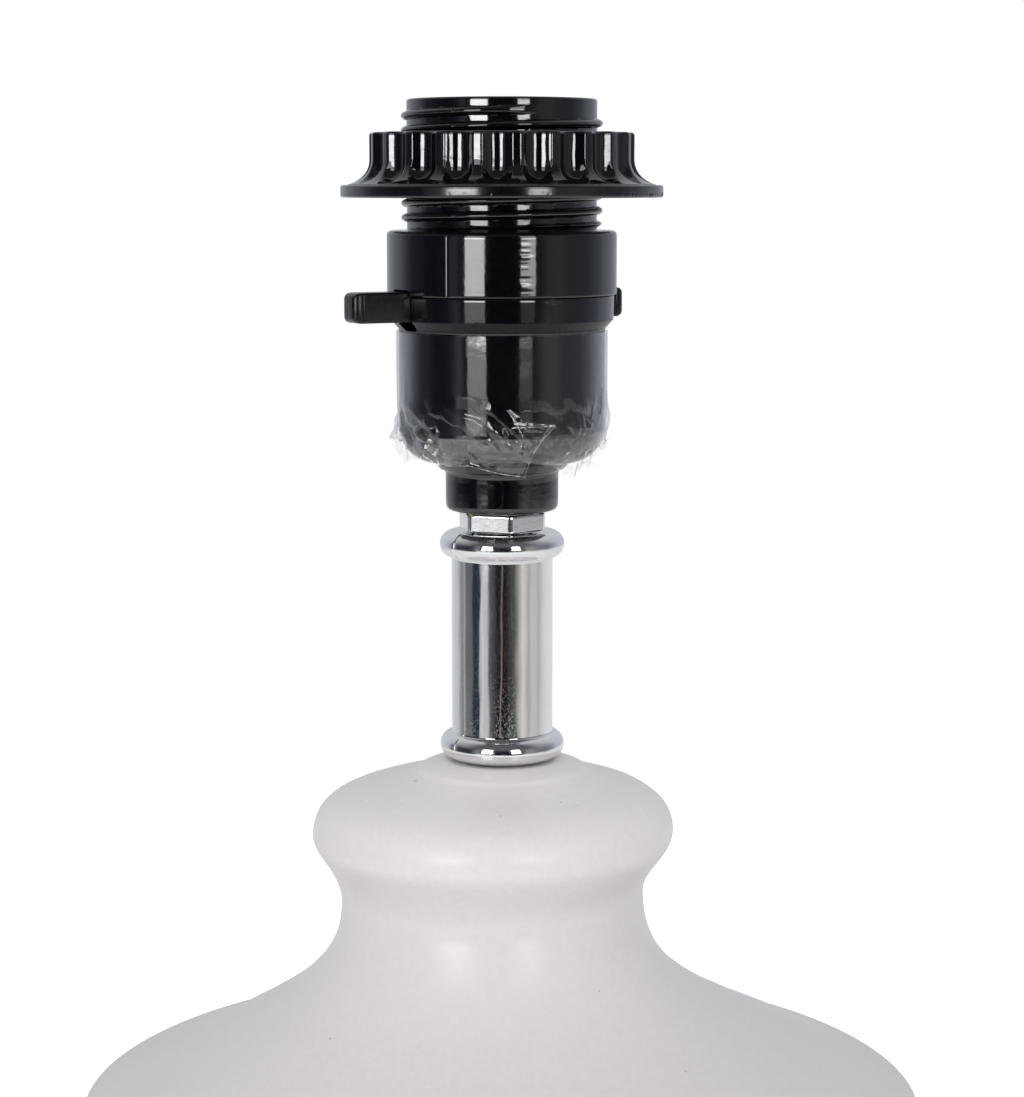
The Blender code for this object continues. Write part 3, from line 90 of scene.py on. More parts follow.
def arc(centre, radius, start, end, count):
    """Points from one angle to another, in degrees."""
    angles = [math.radians(start + (end - start) * index / count) for index in range(count + 1)]
    return [(centre[0] + radius * math.cos(a), centre[1] + radius * math.sin(a)) for a in angles]


def fillet(x, z, radius, start, end, count):
    """An arc that rounds off the corner at x, z."""
    middle = math.radians((start + end) / 2)
    centre = (x - math.copysign(radius, math.cos(middle)),
              z - math.copysign(radius, math.sin(middle)))
    return arc(centre, radius, start, end, count)


def bezier(start, start_handle, end_handle, end, count):
    knots = (start, start_handle, end_handle, end)
    points = []
    for index in range(count + 1):
        t = index / count
        u = 1.0 - t
        weights = (u ** 3, 3 * u * u * t, 3 * u * t * t, t ** 3)
        points.append(tuple(sum(w * k[axis] for w, k in zip(weights, knots)) for axis in (0, 1)))
    return points


def line(start, end, count):
    return [(start[0] + (end[0] - start[0]) * index / count,
             start[1] + (end[1] - start[1]) * index / count) for index in range(count + 1)]


def without_repeats(points, closed, least=2e-6):
    kept = [points[0]]
    for point in points[1:]:
        if math.dist(point, kept[-1]) > least:
            kept.append(point)
    if closed and math.dist(kept[0], kept[-1]) < least:
        kept.pop()
    return kept


def straight_step(low, high, value):
    return (value - low) / (high - low)


def blend_step(low, high, value):
    t = max(0.0, min(1.0, (value - low) / (high - low)))
    return t * t * (3 - 2 * t)


def hump(offset, width):
    """1 in the middle, fading to 0 beyond the width."""
    return math.exp(-(offset / width) ** 2)


def round_noise(angle, spread, level):
    """Smooth noise that closes on itself round the axis."""
    return noise.noise(Vector((math.cos(angle) * spread, math.sin(angle) * spread, level)))


def between(first, second, share):
    return [a + (b - a) * share for a, b in zip(first, second)]


def lathe(profile, angles, warp=at, closed=True):
    """Turns (radius, height) points round Z, column by column, into vertices and faces."""
    points = without_repeats(profile, closed)
    count = len(points)
    verts = [warp(radius, angle, height) for angle in angles for radius, height in points]
    faces = []
    for step in range(len(angles)):
        here, ahead = step * count, (step + 1) % len(angles) * count
        for index in range(count if closed else count - 1):
            after = (index + 1) % count
            faces.append((here + index, ahead + index, ahead + after, here + after))
    return verts, faces


def row_faces(rows, around, closed):
    """Quads between rows of points, and from the last row to the first in a closed skin."""
    faces = []
    for row in range(rows if closed else rows - 1):
        low, high = row * around, (row + 1) % rows * around
        for step in range(around):
            after = (step + 1) % around
            faces.append((low + step, low + after, high + after, high + step))
    return faces


def stack(rows, steps):
    """Joins rows, each a radius or radius_of(angle, height) and a height, into a closed skin."""
    verts = []
    for radius, height in rows:
        for angle in even_angles(steps):
            reach = radius(angle, height) if callable(radius) else radius
            verts.append(at(reach, angle, height))
    return verts, row_faces(len(rows), steps, True)


def add_object(name, data):
    obj = bpy.data.objects.new(name, data)
    bpy.context.scene.collection.objects.link(obj)
    return obj


def new_mesh(name, verts, faces):
    """A mesh with its faces turned outwards."""
    mesh = bpy.data.meshes.new(name)
    mesh.from_pydata(verts, [], faces)
    mesh.validate()
    shell = bmesh.new()
    shell.from_mesh(mesh)
    bmesh.ops.recalc_face_normals(shell, faces=shell.faces)
    shell.to_mesh(mesh)
    shell.free()
    return mesh


def smooth(mesh, sharp):
    mesh.shade_smooth()
    mesh.set_sharp_from_angle(angle=math.radians(sharp))


def mesh_piece(name, verts, faces, material, body, slot_name, sharp=50):
    mesh = new_mesh(name, verts, faces)
    mesh.materials.append(material)
    smooth(mesh, sharp)
    obj = add_object(name, mesh)
    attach(obj, body)
    return obj


def tool(name, low, high, sides=0, radius=0.0):
    """A cutting tool: a box between two corners, or an upright rod between two points."""
    size = [b - a for a, b in zip(low, high)]
    solid = bmesh.new()
    if sides:
        bmesh.ops.create_cone(solid, cap_ends=True, segments=sides, radius1=radius,
                              radius2=radius, depth=size[2])
    else:
        bmesh.ops.create_cube(solid, size=1.0)
        bmesh.ops.scale(solid, vec=size, verts=solid.verts)
    bmesh.ops.translate(solid, verts=solid.verts, vec=[(a + b) / 2 for a, b in zip(low, high)])
    mesh = bpy.data.meshes.new(name)
    solid.to_mesh(mesh)
    solid.free()
    return add_object(name, mesh)


def cut_with(target, cutter, operation="DIFFERENCE"):
    """Cuts with a tool, keeps the result as plain mesh and removes the tool."""
    modifier = target.modifiers.new("Cut", "BOOLEAN")
    modifier.operation = operation
    modifier.solver = "EXACT"
    modifier.object = cutter
    bpy.context.view_layer.update()
    result = target.evaluated_get(bpy.context.evaluated_depsgraph_get())
    mesh = bpy.data.meshes.new_from_object(result)
    target.modifiers.clear()
    target.data = mesh
    bpy.data.objects.remove(cutter, do_unlink=True)


# The thrown body leans a little: height, then the shift to the photograph's right or front
LEAN = ((0.1500, 0.0), (0.1640, 0.0001), (0.1713, -0.0002), (0.1780, 0.0006),
        (0.1830, -0.00046), (0.1870, -0.00096), (0.1915, -0.00115), (0.1950, -0.00143),
        (0.2010, -0.00151), (0.2060, -0.00164), (0.2114, -0.00194), (0.2165, -0.00176),
        (0.2220, -0.00146), (0.2248, -0.00130), (0.2272, -0.00050), (0.2302, 0.0))
LEAN_FORWARD = ((0.1830, 0.0), (0.1990, 0.00070), (0.2030, 0.00043), (0.2070, -0.00013),
                (0.2095, -0.00030), (0.2190, -0.00060), (0.2250, 0.0))


def row_value(table, height, share_of):
    """A table's value at a height, and 0 beyond its ends."""
    for (low, before), (high, after) in zip(table, table[1:]):
        if low <= height <= high:
            return before + (after - before) * share_of(low, high, height)
    return 0.0


def lean_at(height):
    right = row_value(LEAN, height, blend_step)
    front = row_value(LEAN_FORWARD, height, straight_step)
    side = VIEW_ANGLE + math.pi / 2
    return Vector((math.cos(side) * right + math.cos(VIEW_ANGLE) * front,
                   math.sin(side) * right + math.sin(VIEW_ANGLE) * front, 0))


# ------------------------------------------------------------ material helpers
class Nodes:
    """A node tree with short calls for its nodes."""

    def __init__(self, tree):
        self.tree = tree

    def put(self, value, socket):
        """Fills a socket with an output, a colour or a plain value."""
        if isinstance(value, bpy.types.NodeSocket):
            self.tree.links.new(value, socket)
        elif socket.type == "RGBA":
            socket.default_value = (*value, 1.0)
        else:
            socket.default_value = value

    def node(self, kind, inputs, **fields):
        made = self.tree.nodes.new(kind)
        for key, value in fields.items():
            setattr(made, key, value)
        for key, value in inputs.items():
            self.put(value, made.inputs[key])
        return made

    def height(self, place):
        return self.node("ShaderNodeSeparateXYZ", {"Vector": place}).outputs["Z"]

    def ramp(self, factor, *stops):
        """Stops are positions with a grey or a colour."""
        made = self.node("ShaderNodeValToRGB", {"Fac": factor})
        elements = made.color_ramp.elements
        for index, (position, value) in enumerate(stops):
            element = elements[index] if index < 2 else elements.new(position)
            element.position = position
            colour = value if isinstance(value, tuple) else (value,) * 3
            element.color = (*colour, 1.0)
        return made.outputs["Color"]

    def math(self, operation, first, second, clamp=False):
        made = self.node("ShaderNodeMath", {0: first, 1: second}, operation=operation,
                         use_clamp=clamp)
        return made.outputs["Value"]

    def mix(self, factor, first, second, blend="MIX"):
        made = self.node("ShaderNodeMix", {"Factor": factor}, data_type="RGBA", blend_type=blend)
        sockets = [socket for socket in made.inputs if socket.type == "RGBA"]
        for socket, value in zip(sockets, (first, second)):
            self.put(value, socket)
        return [socket for socket in made.outputs if socket.type == "RGBA"][0]

    def shader_mix(self, factor, first, second):
        inputs = {"Fac": factor, 1: first, 2: second}
        return self.node("ShaderNodeMixShader", inputs).outputs["Shader"]


class Surface(Nodes):
    """A material, and its texture nodes in the object's own coordinates."""

    def __init__(self, name, colour, roughness, **settings):
        self.material = bpy.data.materials.new(name)
        self.material.use_nodes = True
        super().__init__(self.material.node_tree)
        self.shader = self.tree.nodes["Principled BSDF"]
        self.into(colour, "Base Color")
        self.into(roughness, "Roughness")
        for key, value in settings.items():
            self.into(value, key.replace("_", " "))
        self.place = self.node("ShaderNodeTexCoord", {}).outputs["Object"]

    def into(self, value, socket):
        self.put(value, self.shader.inputs[socket])

    def show(self, shader):
        self.put(shader, self.tree.nodes["Material Output"].inputs["Surface"])

    def scaled(self, scale):
        inputs = {"Scale": scale, "Vector": self.place}
        return self.node("ShaderNodeMapping", inputs).outputs["Vector"]

    def noise(self, scale, detail=2.0, rough=0.5, stretch=None, distortion=0.0):
        place = self.scaled(stretch) if stretch else self.place
        inputs = {"Scale": scale, "Detail": detail, "Roughness": rough,
                  "Distortion": distortion, "Vector": place}
        return self.node("ShaderNodeTexNoise", inputs).outputs["Fac"]

    def distance(self, place, centre):
        made = self.node("ShaderNodeVectorMath", {0: place, 1: centre}, operation="DISTANCE")
        return made.outputs["Value"]

    def below(self, height, slope):
        """0 above a height, rising to 1 below it."""
        drop = self.math("SUBTRACT", height, self.height(self.place))
        return self.math("MULTIPLY", drop, slope, clamp=True)

    def bump(self, *layers):
        """Each layer is (height output, strength, distance in metres)."""
        inputs = {}
        for height, strength, distance in layers:
            inputs.update({"Height": height, "Strength": strength, "Distance": distance})
            inputs["Normal"] = self.node("ShaderNodeBump", inputs).outputs["Normal"]
        self.into(inputs["Normal"], "Normal")


# Marks in the glaze: degrees right of the camera, radius, height, size and colour
GLAZE_MARKS = (
    (-63.9, 0.0163, 0.2294, 0.00034, (0.20, 0.17, 0.15)),
    (30.3, 0.0200, 0.2281, 0.00030, (0.34, 0.31, 0.29)),
    (0.8, 0.0231, 0.2273, 0.00034, (0.55, 0.46, 0.30)),
    (-47.8, 0.0369, 0.1901, 0.00030, (0.34, 0.30, 0.28)),
    (45.8, 0.0431, 0.1862, 0.00028, (0.40, 0.36, 0.34)),
    (37.1, 0.0290, 0.1977, 0.00030, (0.48, 0.44, 0.42)),
    (36.6, 0.0290, 0.1973, 0.00022, (0.50, 0.46, 0.44)),
    (150.0, 0.0662, 0.1745, 0.00034, (0.36, 0.32, 0.30)),
    (-125.0, 0.0296, 0.2240, 0.00030, (0.36, 0.32, 0.30)),
    (-98.0, 0.0700, 0.1360, 0.00032, (0.40, 0.36, 0.34)),
    (85.0, 0.0688, 0.1330, 0.00030, (0.40, 0.36, 0.34)),
    (20.0, 0.0640, 0.1150, 0.00034, (0.36, 0.32, 0.30)))


def satin_glaze():
    made = Surface("satin_glaze", (0.66, 0.64, 0.62), 0.42)
    blotch = made.ramp(made.noise(9.0, 3.0, 0.55), (0.30, (0.690, 0.650, 0.645)),
                       (0.70, (0.728, 0.687, 0.681)))
    fine = made.ramp(made.noise(900.0), (0.35, 0.97), (0.65, 1.0))
    base = made.mix(1.0, blotch, fine, "MULTIPLY")
    # Painted shade: the glaze colour is darkened below 0.215 m, standing in for the lower body
    # getting less light
    base = made.mix(made.below(0.215, 20.0), base, (0.84, 0.84, 0.845), "MULTIPLY")
    for off, radius, height, size, colour in GLAZE_MARKS:
        centre = Vector(at(radius, VIEW_ANGLE + math.radians(off), height)) + lean_at(height)
        share = made.math("DIVIDE", made.distance(made.place, centre), size)
        spot = made.ramp(share, (0.5, 1.0), (1.0, 0.0))
        base = made.mix(made.math("MULTIPLY", spot, 0.8), base, colour)
    made.into(base, "Base Color")
    made.into(made.ramp(made.noise(60.0, 3.0, 0.6), (0.3, 0.27), (0.7, 0.31)), "Roughness")
    made.bump((made.noise(26.0), 0.10, 0.0016), (made.noise(420.0, 3.0), 0.10, 0.00012))
    return made.material


def black_phenolic(name, speckle=0.0, roughness=0.05, level=1.0, dull_below=None, scuff=None):
    """Moulded black resin. It can be duller below a height, and scuffed round one place."""
    made = Surface(name, (0.003, 0.003, 0.004), roughness, Specular_IOR_Level=level)
    light = (0.0024 + speckle, 0.0026 + speckle, 0.0032 + speckle)
    colour = made.ramp(made.noise(700.0, 4.0, 0.6), (0.40, (0.0012, 0.0013, 0.0019)),
                       (0.72, light))
    haze = made.ramp(made.noise(160.0, 3.0, 0.6), (0.35, roughness), (0.75, roughness + 0.05))
    if dull_below:
        haze = made.math("ADD", haze, made.math("MULTIPLY", made.below(dull_below, 3000.0), 0.09))
    if scuff:
        reach = made.distance(made.scaled((1.0, 1.0, 3.0)), (scuff[0], scuff[1], scuff[2] * 3))
        near = made.math("SUBTRACT", 1.0, made.math("MULTIPLY", reach, 460.0), clamp=True)
        rubbed = made.ramp(made.noise(1500.0, 5.0, 0.75, (1.0, 1.0, 2.5)), (0.46, 0.0),
                           (0.66, 1.0))
        mark = made.math("MULTIPLY", made.math("MULTIPLY", near, 1.6, clamp=True), rubbed)
        colour = made.mix(mark, colour, (0.040, 0.040, 0.042))
        haze = made.math("ADD", haze, made.math("MULTIPLY", mark, 0.25))
    made.into(colour, "Base Color")
    made.into(haze, "Roughness")
    made.bump((made.noise(150.0, stretch=(0.25, 0.25, 1.6)), 0.10, 0.0004),
              (made.noise(1500.0), 0.06 + speckle * 8, 0.00006))
    return made.material


def metal(name, colour, roughness, scratch_scale, spread, stretch=(1.0, 1.0, 1.0), mottle=0.12):
    made = Surface(name, colour, roughness, Metallic=1.0)
    dark = tuple(channel * (1.0 - mottle) for channel in colour)
    made.into(made.ramp(made.noise(240.0, 3.0, 0.6), (0.35, dark), (0.65, colour)), "Base Color")
    lines = made.noise(scratch_scale, 4.0, 0.65, stretch)
    made.into(made.ramp(lines, (0.35, roughness), (0.70, roughness + spread)), "Roughness")
    made.bump((lines, 0.25, 0.00003))
    return made.material


def chrome():
    made = Surface("chrome", (0.90, 0.905, 0.91), 0.035, Metallic=1.0)
    scratches = made.noise(4200.0, 4.0, 0.75, (1.0, 1.0, 0.7))
    made.into(made.ramp(scratches, (0.48, 0.03), (0.64, 0.17)), "Roughness")
    made.into(made.ramp(made.noise(90.0, 3.0), (0.3, (0.86, 0.865, 0.87)),
                        (0.7, (0.92, 0.925, 0.93))), "Base Color")
    made.bump((made.noise(260.0, 5.0, 0.7, (4.0, 4.0, 0.10)), 0.06, 0.00005),
              (made.noise(60.0, 1.0), 0.05, 0.0004), (scratches, 0.10, 0.00002))
    return made.material


def felt():
    made = Surface("felt", (0.035, 0.036, 0.038), 0.95, Sheen_Weight=0.5)
    fibre = made.noise(1400.0, 5.0, 0.75, distortion=1.4)
    made.into(made.ramp(fibre, (0.3, (0.016, 0.017, 0.018)), (0.75, (0.070, 0.072, 0.076))),
              "Base Color")
    made.bump((fibre, 0.8, 0.0004))
    return made.material


def soft_plastic():
    made = Surface("grommet_plastic", (0.62, 0.61, 0.59), 0.38)
    made.into(made.ramp(made.noise(300.0, 3.0), (0.3, (0.60, 0.59, 0.57)),
                        (0.7, (0.66, 0.65, 0.63))), "Base Color")
    made.into(made.ramp(made.noise(120.0), (0.3, 0.34), (0.7, 0.46)), "Roughness")
    made.bump((made.noise(1200.0, 3.0), 0.15, 0.00006))
    return made.material


def fibre_board():
    made = Surface("insulating_fibre", (0.30, 0.10, 0.045), 0.7)
    strands = made.noise(800.0, 5.0, 0.7, (1.0, 0.3, 1.0))
    made.into(made.ramp(strands, (0.3, (0.20, 0.060, 0.030)), (0.7, (0.38, 0.14, 0.07))),
              "Base Color")
    made.into(made.ramp(strands, (0.3, 0.62), (0.7, 0.80)), "Roughness")
    made.bump((strands, 0.4, 0.0001))
    return made.material


def see_through(made, share, colour=(1.0, 1.0, 1.0)):
    """Shows the surface by that share, and what lies behind it by the rest."""
    clear = made.node("ShaderNodeBsdfTransparent", {"Color": colour}).outputs["BSDF"]
    made.show(made.shader_mix(share, clear, made.shader.outputs["BSDF"]))
    return made.material


def white_edges_and_painted_highlights():
    """Where the film is cut or torn it looks white; on the flap's fold and one strand the white is a
    painted highlight.
    """
    made = Surface("white_edges_and_painted_highlights", (0.86, 0.87, 0.88), 0.30)
    made.bump((made.noise(1800.0), 0.2, 0.00004))
    return see_through(made, made.ramp(made.noise(900.0, 4.0, 0.7), (0.42, 0.05), (0.62, 0.75)))


def clear_film():
    """A see-through sheet: only its sheen is opaque, and it grows towards the edges of folds."""
    made = Surface("clear_film", (1.0, 1.0, 1.0), 0.05, Metallic=1.0)
    low = made.below(0.2940, 220.0)
    haze = made.ramp(made.noise(900.0, 4.0, 0.7), (0.45, 0.0), (0.70, 0.05))
    shine = made.ramp(made.noise(500.0, 3.0), (0.4, 0.03), (0.8, 0.10))
    made.into(made.math("ADD", shine, made.math("MULTIPLY", low, 0.04)), "Roughness")
    made.into(made.ramp(made.noise(160.0, 4.0, 0.6), (0.3, 0.88), (0.7, (1.0, 0.99, 0.97))),
              "Base Color")
    made.bump((made.noise(700.0, 3.0, 0.6, (1.0, 1.0, 0.4)), 0.25, 0.00008),
              (made.noise(2400.0, 3.0), 0.06, 0.00002))
    facing = made.node("ShaderNodeLayerWeight", {"Blend": 0.5}).outputs["Facing"]
    grazing = made.math("MULTIPLY", made.math("POWER", facing, 4.0), 0.75)
    gloss = made.math("ADD", grazing, 0.035)
    share = made.math("ADD", gloss, made.math("MULTIPLY", low, haze), clamp=True)
    return see_through(made, share, (0.985, 0.988, 0.99))


GLAZE = satin_glaze()
PHENOLIC = black_phenolic("black_phenolic",
                          scuff=at(0.0189, VIEW_ANGLE + math.radians(25.5), 0.3110))
DULL_PHENOLIC = black_phenolic("dull_phenolic", 0.0, 0.25, 0.35)
RING_PHENOLIC = black_phenolic("ring_phenolic", 0.0, 0.04, 1.0, RING_BOTTOM + 0.0021)
BAR_PHENOLIC = black_phenolic("bar_phenolic", 0.006, 0.20, 0.5)
CHROME = chrome()
ZINC = metal("bright_zinc", (0.93, 0.935, 0.94), 0.09, 700.0, 0.09, mottle=0.08)
STEEL = metal("plated_steel", (0.62, 0.63, 0.64), 0.24, 500.0, 0.16)
BRASS = metal("brass", (0.82, 0.60, 0.28), 0.20, 600.0, 0.16)
NICKEL = metal("nickel", (0.70, 0.67, 0.61), 0.22, 600.0, 0.14)
ALUMINIUM = metal("shell_aluminium", (0.78, 0.79, 0.80), 0.22, 500.0, 0.16, (1.0, 1.0, 3.0))
FELT = felt()
SOFT_PLASTIC = soft_plastic()
FIBRE = fibre_board()
FILM = clear_film()
WHITE_EDGES_AND_PAINTED_HIGHLIGHTS = white_edges_and_painted_highlights()

# CAD nodes that show as they are
CAD_FINISHES = (
    (STEEL, "base_washer lock_washer"),
    (ZINC, "base_nut assembly_screw_front assembly_screw_back"),
    (BRASS, "cap_bushing centre_contact contact_rivet shell_rivet_left shell_rivet_right "
            "bridge_contact line_terminal load_contact line_screw"),
    (NICKEL, "neutral_terminal neutral_screw detent_spring"),
    (FIBRE, "insulator_disc"))
for finish, names in CAD_FINISHES:
    for node_name in names.split():
        slots = NODES[node_name].data.materials
        slots.clear()
        slots.append(finish)


# --------------------------------------------------------------- ceramic body
def body_curve(inset, count, long_count):
    """The ceramic's outline from crown to foot, moved inwards by the inset."""
    crown = (0.0161, CERAMIC_TOP - 0.0025 - inset)
    collar = (0.0312 - inset, CERAMIC_TOP - 0.0130)
    waist = (0.0262 - inset, CERAMIC_TOP - 0.0245)
    lean = Vector((1.0, -0.551)).normalized()
    shoulder = (0.0467 + inset * lean.y, CERAMIC_TOP - 0.0479 - inset * lean.x)
    belly = (0.0728 - inset, CERAMIC_TOP - 0.0607)
    foot = (FOOT - inset, CERAMIC_BOTTOM + 0.0240)
    start = Vector((1.0, -0.42)).normalized() * math.dist(crown, collar)
    points = bezier(crown, (crown[0] + start.x * 0.38, crown[1] + start.y * 0.38),
                    (collar[0], collar[1] + (crown[1] - collar[1]) * 0.745), collar, count)
    fall = collar[1] - waist[1]
    points += bezier(collar, (collar[0], collar[1] - fall * 0.28),
                     (waist[0], waist[1] + fall * 0.50), waist, count)
    reach = math.dist(waist, shoulder) * 0.52
    points += bezier(waist, (waist[0], waist[1] - (waist[1] - shoulder[1]) * 0.42),
                     (shoulder[0] - lean.x * reach, shoulder[1] - lean.y * reach),
                     shoulder, count)
    reach = math.dist(shoulder, belly) * 1.03
    points += bezier(shoulder, (shoulder[0] + lean.x * reach, shoulder[1] + lean.y * reach),
                     (belly[0], belly[1] + (shoulder[1] - belly[1]) * 0.10), belly, long_count)
    fall = belly[1] - foot[1]
    points += bezier(belly, (belly[0], belly[1] - fall * 0.42),
                     (foot[0], foot[1] + fall * 0.30), foot, long_count)
    return points


def make_ceramic():
    floor_under = CERAMIC_BOTTOM + 0.0220
    hollow_floor = floor_under + 0.0050
    soft = 0.0020
    edge, crown = (0.0140, CERAMIC_TOP - 0.0014), (0.0161, CERAMIC_TOP - 0.0025)
    reach = crown[0] - edge[0]
    profile = [(BODY_BORE, CERAMIC_TOP)] + line((0.0075, CERAMIC_TOP), (0.0095, CERAMIC_TOP), 2)
    profile += bezier((0.0099, CERAMIC_TOP), (0.01035, CERAMIC_TOP),
                      (edge[0] - 0.0003, edge[1] + 0.0002), edge, 10)
    profile += bezier(edge, (edge[0] + reach * 0.4, edge[1] - 0.0007),
                      (crown[0] - reach * 0.3, crown[1] + reach * 0.126), crown, 8)
    profile += body_curve(0.0, 22, 40)
    profile += fillet(FOOT, CERAMIC_BOTTOM, soft, 0, -90, 6)
    profile += [(FOOT_INNER + soft, CERAMIC_BOTTOM)]
    profile += fillet(FOOT_INNER, CERAMIC_BOTTOM, soft, -95, -180, 5)
    profile += [(FOOT_INNER, floor_under - 0.0030)]
    profile += fillet(FOOT_INNER, floor_under, soft, 0, 90, 4)
    profile += [(BODY_BORE, floor_under), (BODY_BORE, hollow_floor)]
    profile += [p for p in reversed(body_curve(0.0050, 10, 14)) if p[1] > hollow_floor]
    profile += [(BODY_BORE, CERAMIC_TOP - 0.0075)]

    def thrown(radius, angle, height):
        wave = 0.0
        if radius > 0.0165 and height > 0.03:
            wave = -0.00005 * (1 + round_noise(angle, 1.3, height * 55))
            wave -= 0.00018 * hump(height - 0.1713, 0.012)
        x, y, z = at(radius + wave, angle, height)
        shift = lean_at(height)
        return (x + shift.x, y + shift.y, z)

    body = mesh_piece("ceramic_vase", *lathe(profile, even_angles(160), thrown), GLAZE, "base",
                      "satin_glaze", 60)
    cutter = tool("inlet_tool", (0, 0, -0.0070), (0, 0, 0.0070), 48, 0.0060)
    cutter.matrix_world = (Matrix.Translation((0, 0.0475, INLET_HEIGHT))
                           @ Matrix.Rotation(math.pi / 2, 4, "X"))
    cut_with(body, cutter)
    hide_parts("ceramic_body")


# ------------------------------------------------------------ pad and grommet
def make_pad():
    steps, outer, bore = 144, 0.0490, 0.0060
    profile = [(bore, PAD_TOP), (outer - 0.0004, PAD_TOP)]
    profile += fillet(outer, PAD_TOP, 0.0005, 90, 0, 3)
    profile += [(outer, 0.0004), (outer - 0.0003, 0.0), (bore, 0.0)]

    def frayed(radius, angle, height):
        fray = 0.00022 * blend_step(0.046, 0.049, radius)
        return at(radius - fray * (1 + round_noise(angle, 22, height * 900)), angle, height)

    verts, faces = lathe(profile, even_angles(steps), frayed, closed=False)
    count = len(verts) // steps
    faces.append([step * count for step in range(steps)])
    faces.append([step * count + count - 1 for step in range(steps)][::-1])
    pad = mesh_piece("felt_pad", verts, faces, FELT, "base", "felt", 40)
    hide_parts("base_pad")


def make_grommet():
    bore, outer, flange = 0.0038, 0.0057, 0.0078
    face = FOOT + 0.0003
    outside = face + 0.0014
    lip = outer + 0.0007
    lip_start = math.sqrt(FOOT_INNER ** 2 - lip ** 2) - 0.0003
    tip = lip_start - 0.0016
    profile = fillet(bore, outside, 0.0006, 180, 90, 4)
    profile += fillet(flange, outside, 0.0006, 90, 0, 5)
    profile += [(flange, face + 0.0001), (0.0077, face), (outer, face), (outer, lip_start),
                (lip, lip_start), (lip, lip_start - 0.0002), (outer - 0.0004, tip), (bore, tip)]
    turn = Matrix.Translation((0, 0, INLET_HEIGHT)) @ Matrix.Rotation(math.radians(-90), 4, "X")

    def lying(radius, angle, height):
        return tuple(turn @ Vector(at(radius, angle, height)))

    bush = mesh_piece("inlet_bush", *lathe(profile, even_angles(72), lying), SOFT_PLASTIC,
                      "base", "grommet_plastic")
    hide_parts("cord_grommet")


# ---------------------------------------------- pipe, neck tube, washer and nut
def make_pipe():
    """The pipe's skin follows a fine thread all the way up."""
    low, high = 0.0125, 0.28716
    pitch, crest, root, bore = 0.0010, 0.0050, 0.0045, 0.0040
    count = int((high - low) / pitch * 6)

    def thread(angle, height):
        depth = abs((height / pitch - angle / TURN) % 1.0 - 0.5) * 2
        ends = min(blend_step(low, low + pitch, height),
                   1 - blend_step(high - pitch, high, height))
        return root + (crest - root) * (1 - depth) * (0.4 + 0.6 * ends)

    rows = [(thread, low + (high - low) * row / count) for row in range(count + 1)]
    rows += [(bore, high), (bore, low)]
    pipe = mesh_piece("threaded_pipe", *stack(rows, 24), ZINC, "base", "bright_zinc", 70)
    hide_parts("stem_pipe")


def make_neck():
    """A tube with a rolled bead at each end and a butt seam."""
    bore, inside, roll, bead = 0.0058, 0.0076, 0.00843, 0.00225
    top, low = NECK_TOP - bead, NECK_BOTTOM + bead
    lip_top, lip_low = NECK_TOP - 0.0010, NECK_BOTTOM + 0.0010
    meet = math.degrees(math.acos((TUBE - roll) / bead))
    leave = bead * math.sin(math.radians(meet - 6))
    inner_roll = bead - 0.0008
    inner_meet = math.degrees(math.asin(min(1.0, (roll - 0.0079) / inner_roll)))
    profile = [(bore, lip_top)] + line((0.0062, lip_top), (0.0071, lip_top), 2)
    profile += arc((roll, top), bead, 100, -meet + 4, 26)
    profile += bezier((0.00882, top - leave), (0.00872, top - bead * 0.99),
                      (TUBE, top - bead * 1.02), (TUBE, top - bead * 1.12), 4)
    profile += line((TUBE, top - bead * 1.2), (TUBE, low + bead * 1.2), 56)
    profile += bezier((TUBE, low + bead * 1.12), (TUBE, low + bead * 1.02),
                      (0.00872, low + bead * 0.99), (0.00882, low + leave), 4)
    profile += arc((roll, low), bead, meet - 4, -100, 26)
    profile += line((0.0071, lip_low), (0.0062, lip_low), 2)
    profile += [(bore, lip_low), (bore, lip_low + 0.0008), (inside, lip_low + 0.0008)]
    profile += arc((roll, low), inner_roll, -75, 90 + inner_meet, 6)
    profile += arc((roll, top), inner_roll, -90 - inner_meet, 75, 6)
    profile += [(inside, lip_top - 0.0008), (bore, lip_top - 0.0008)]

    def seamed(radius, angle, height):
        off = angle_off(angle, TUBE_SEAM)
        outer = blend_step(0.0082, 0.0086, radius)
        groove = -0.00016 * hump(off, 0.018) * outer
        lap = 0.00005 * hump(off - 0.07, 0.05) * outer
        wobble = -0.000022 * (1 + round_noise(angle, 6, height * 150)) * outer
        return at(radius + groove - 0.00005 * outer + lap + wobble, angle, height)

    neck = mesh_piece("chromed_neck", *lathe(profile, seamed_angles(200, TUBE_SEAM), seamed),
                      CHROME, "base", "chrome", 60)
    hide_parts("neck_tube")


def make_neck_washer():
    low, high, outer, inner, edge = 0.27076, 0.27126, 0.0073, 0.0053, 0.00012
    profile = [(inner, high)] + fillet(outer, high, edge, 90, 0, 3)
    profile += fillet(outer, low, edge, 0, -90, 3) + [(inner, low)]
    ring = mesh_piece("thin_washer", *lathe(profile, even_angles(96)), ZINC, "base",
                      "bright_zinc")
    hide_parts("neck_washer")


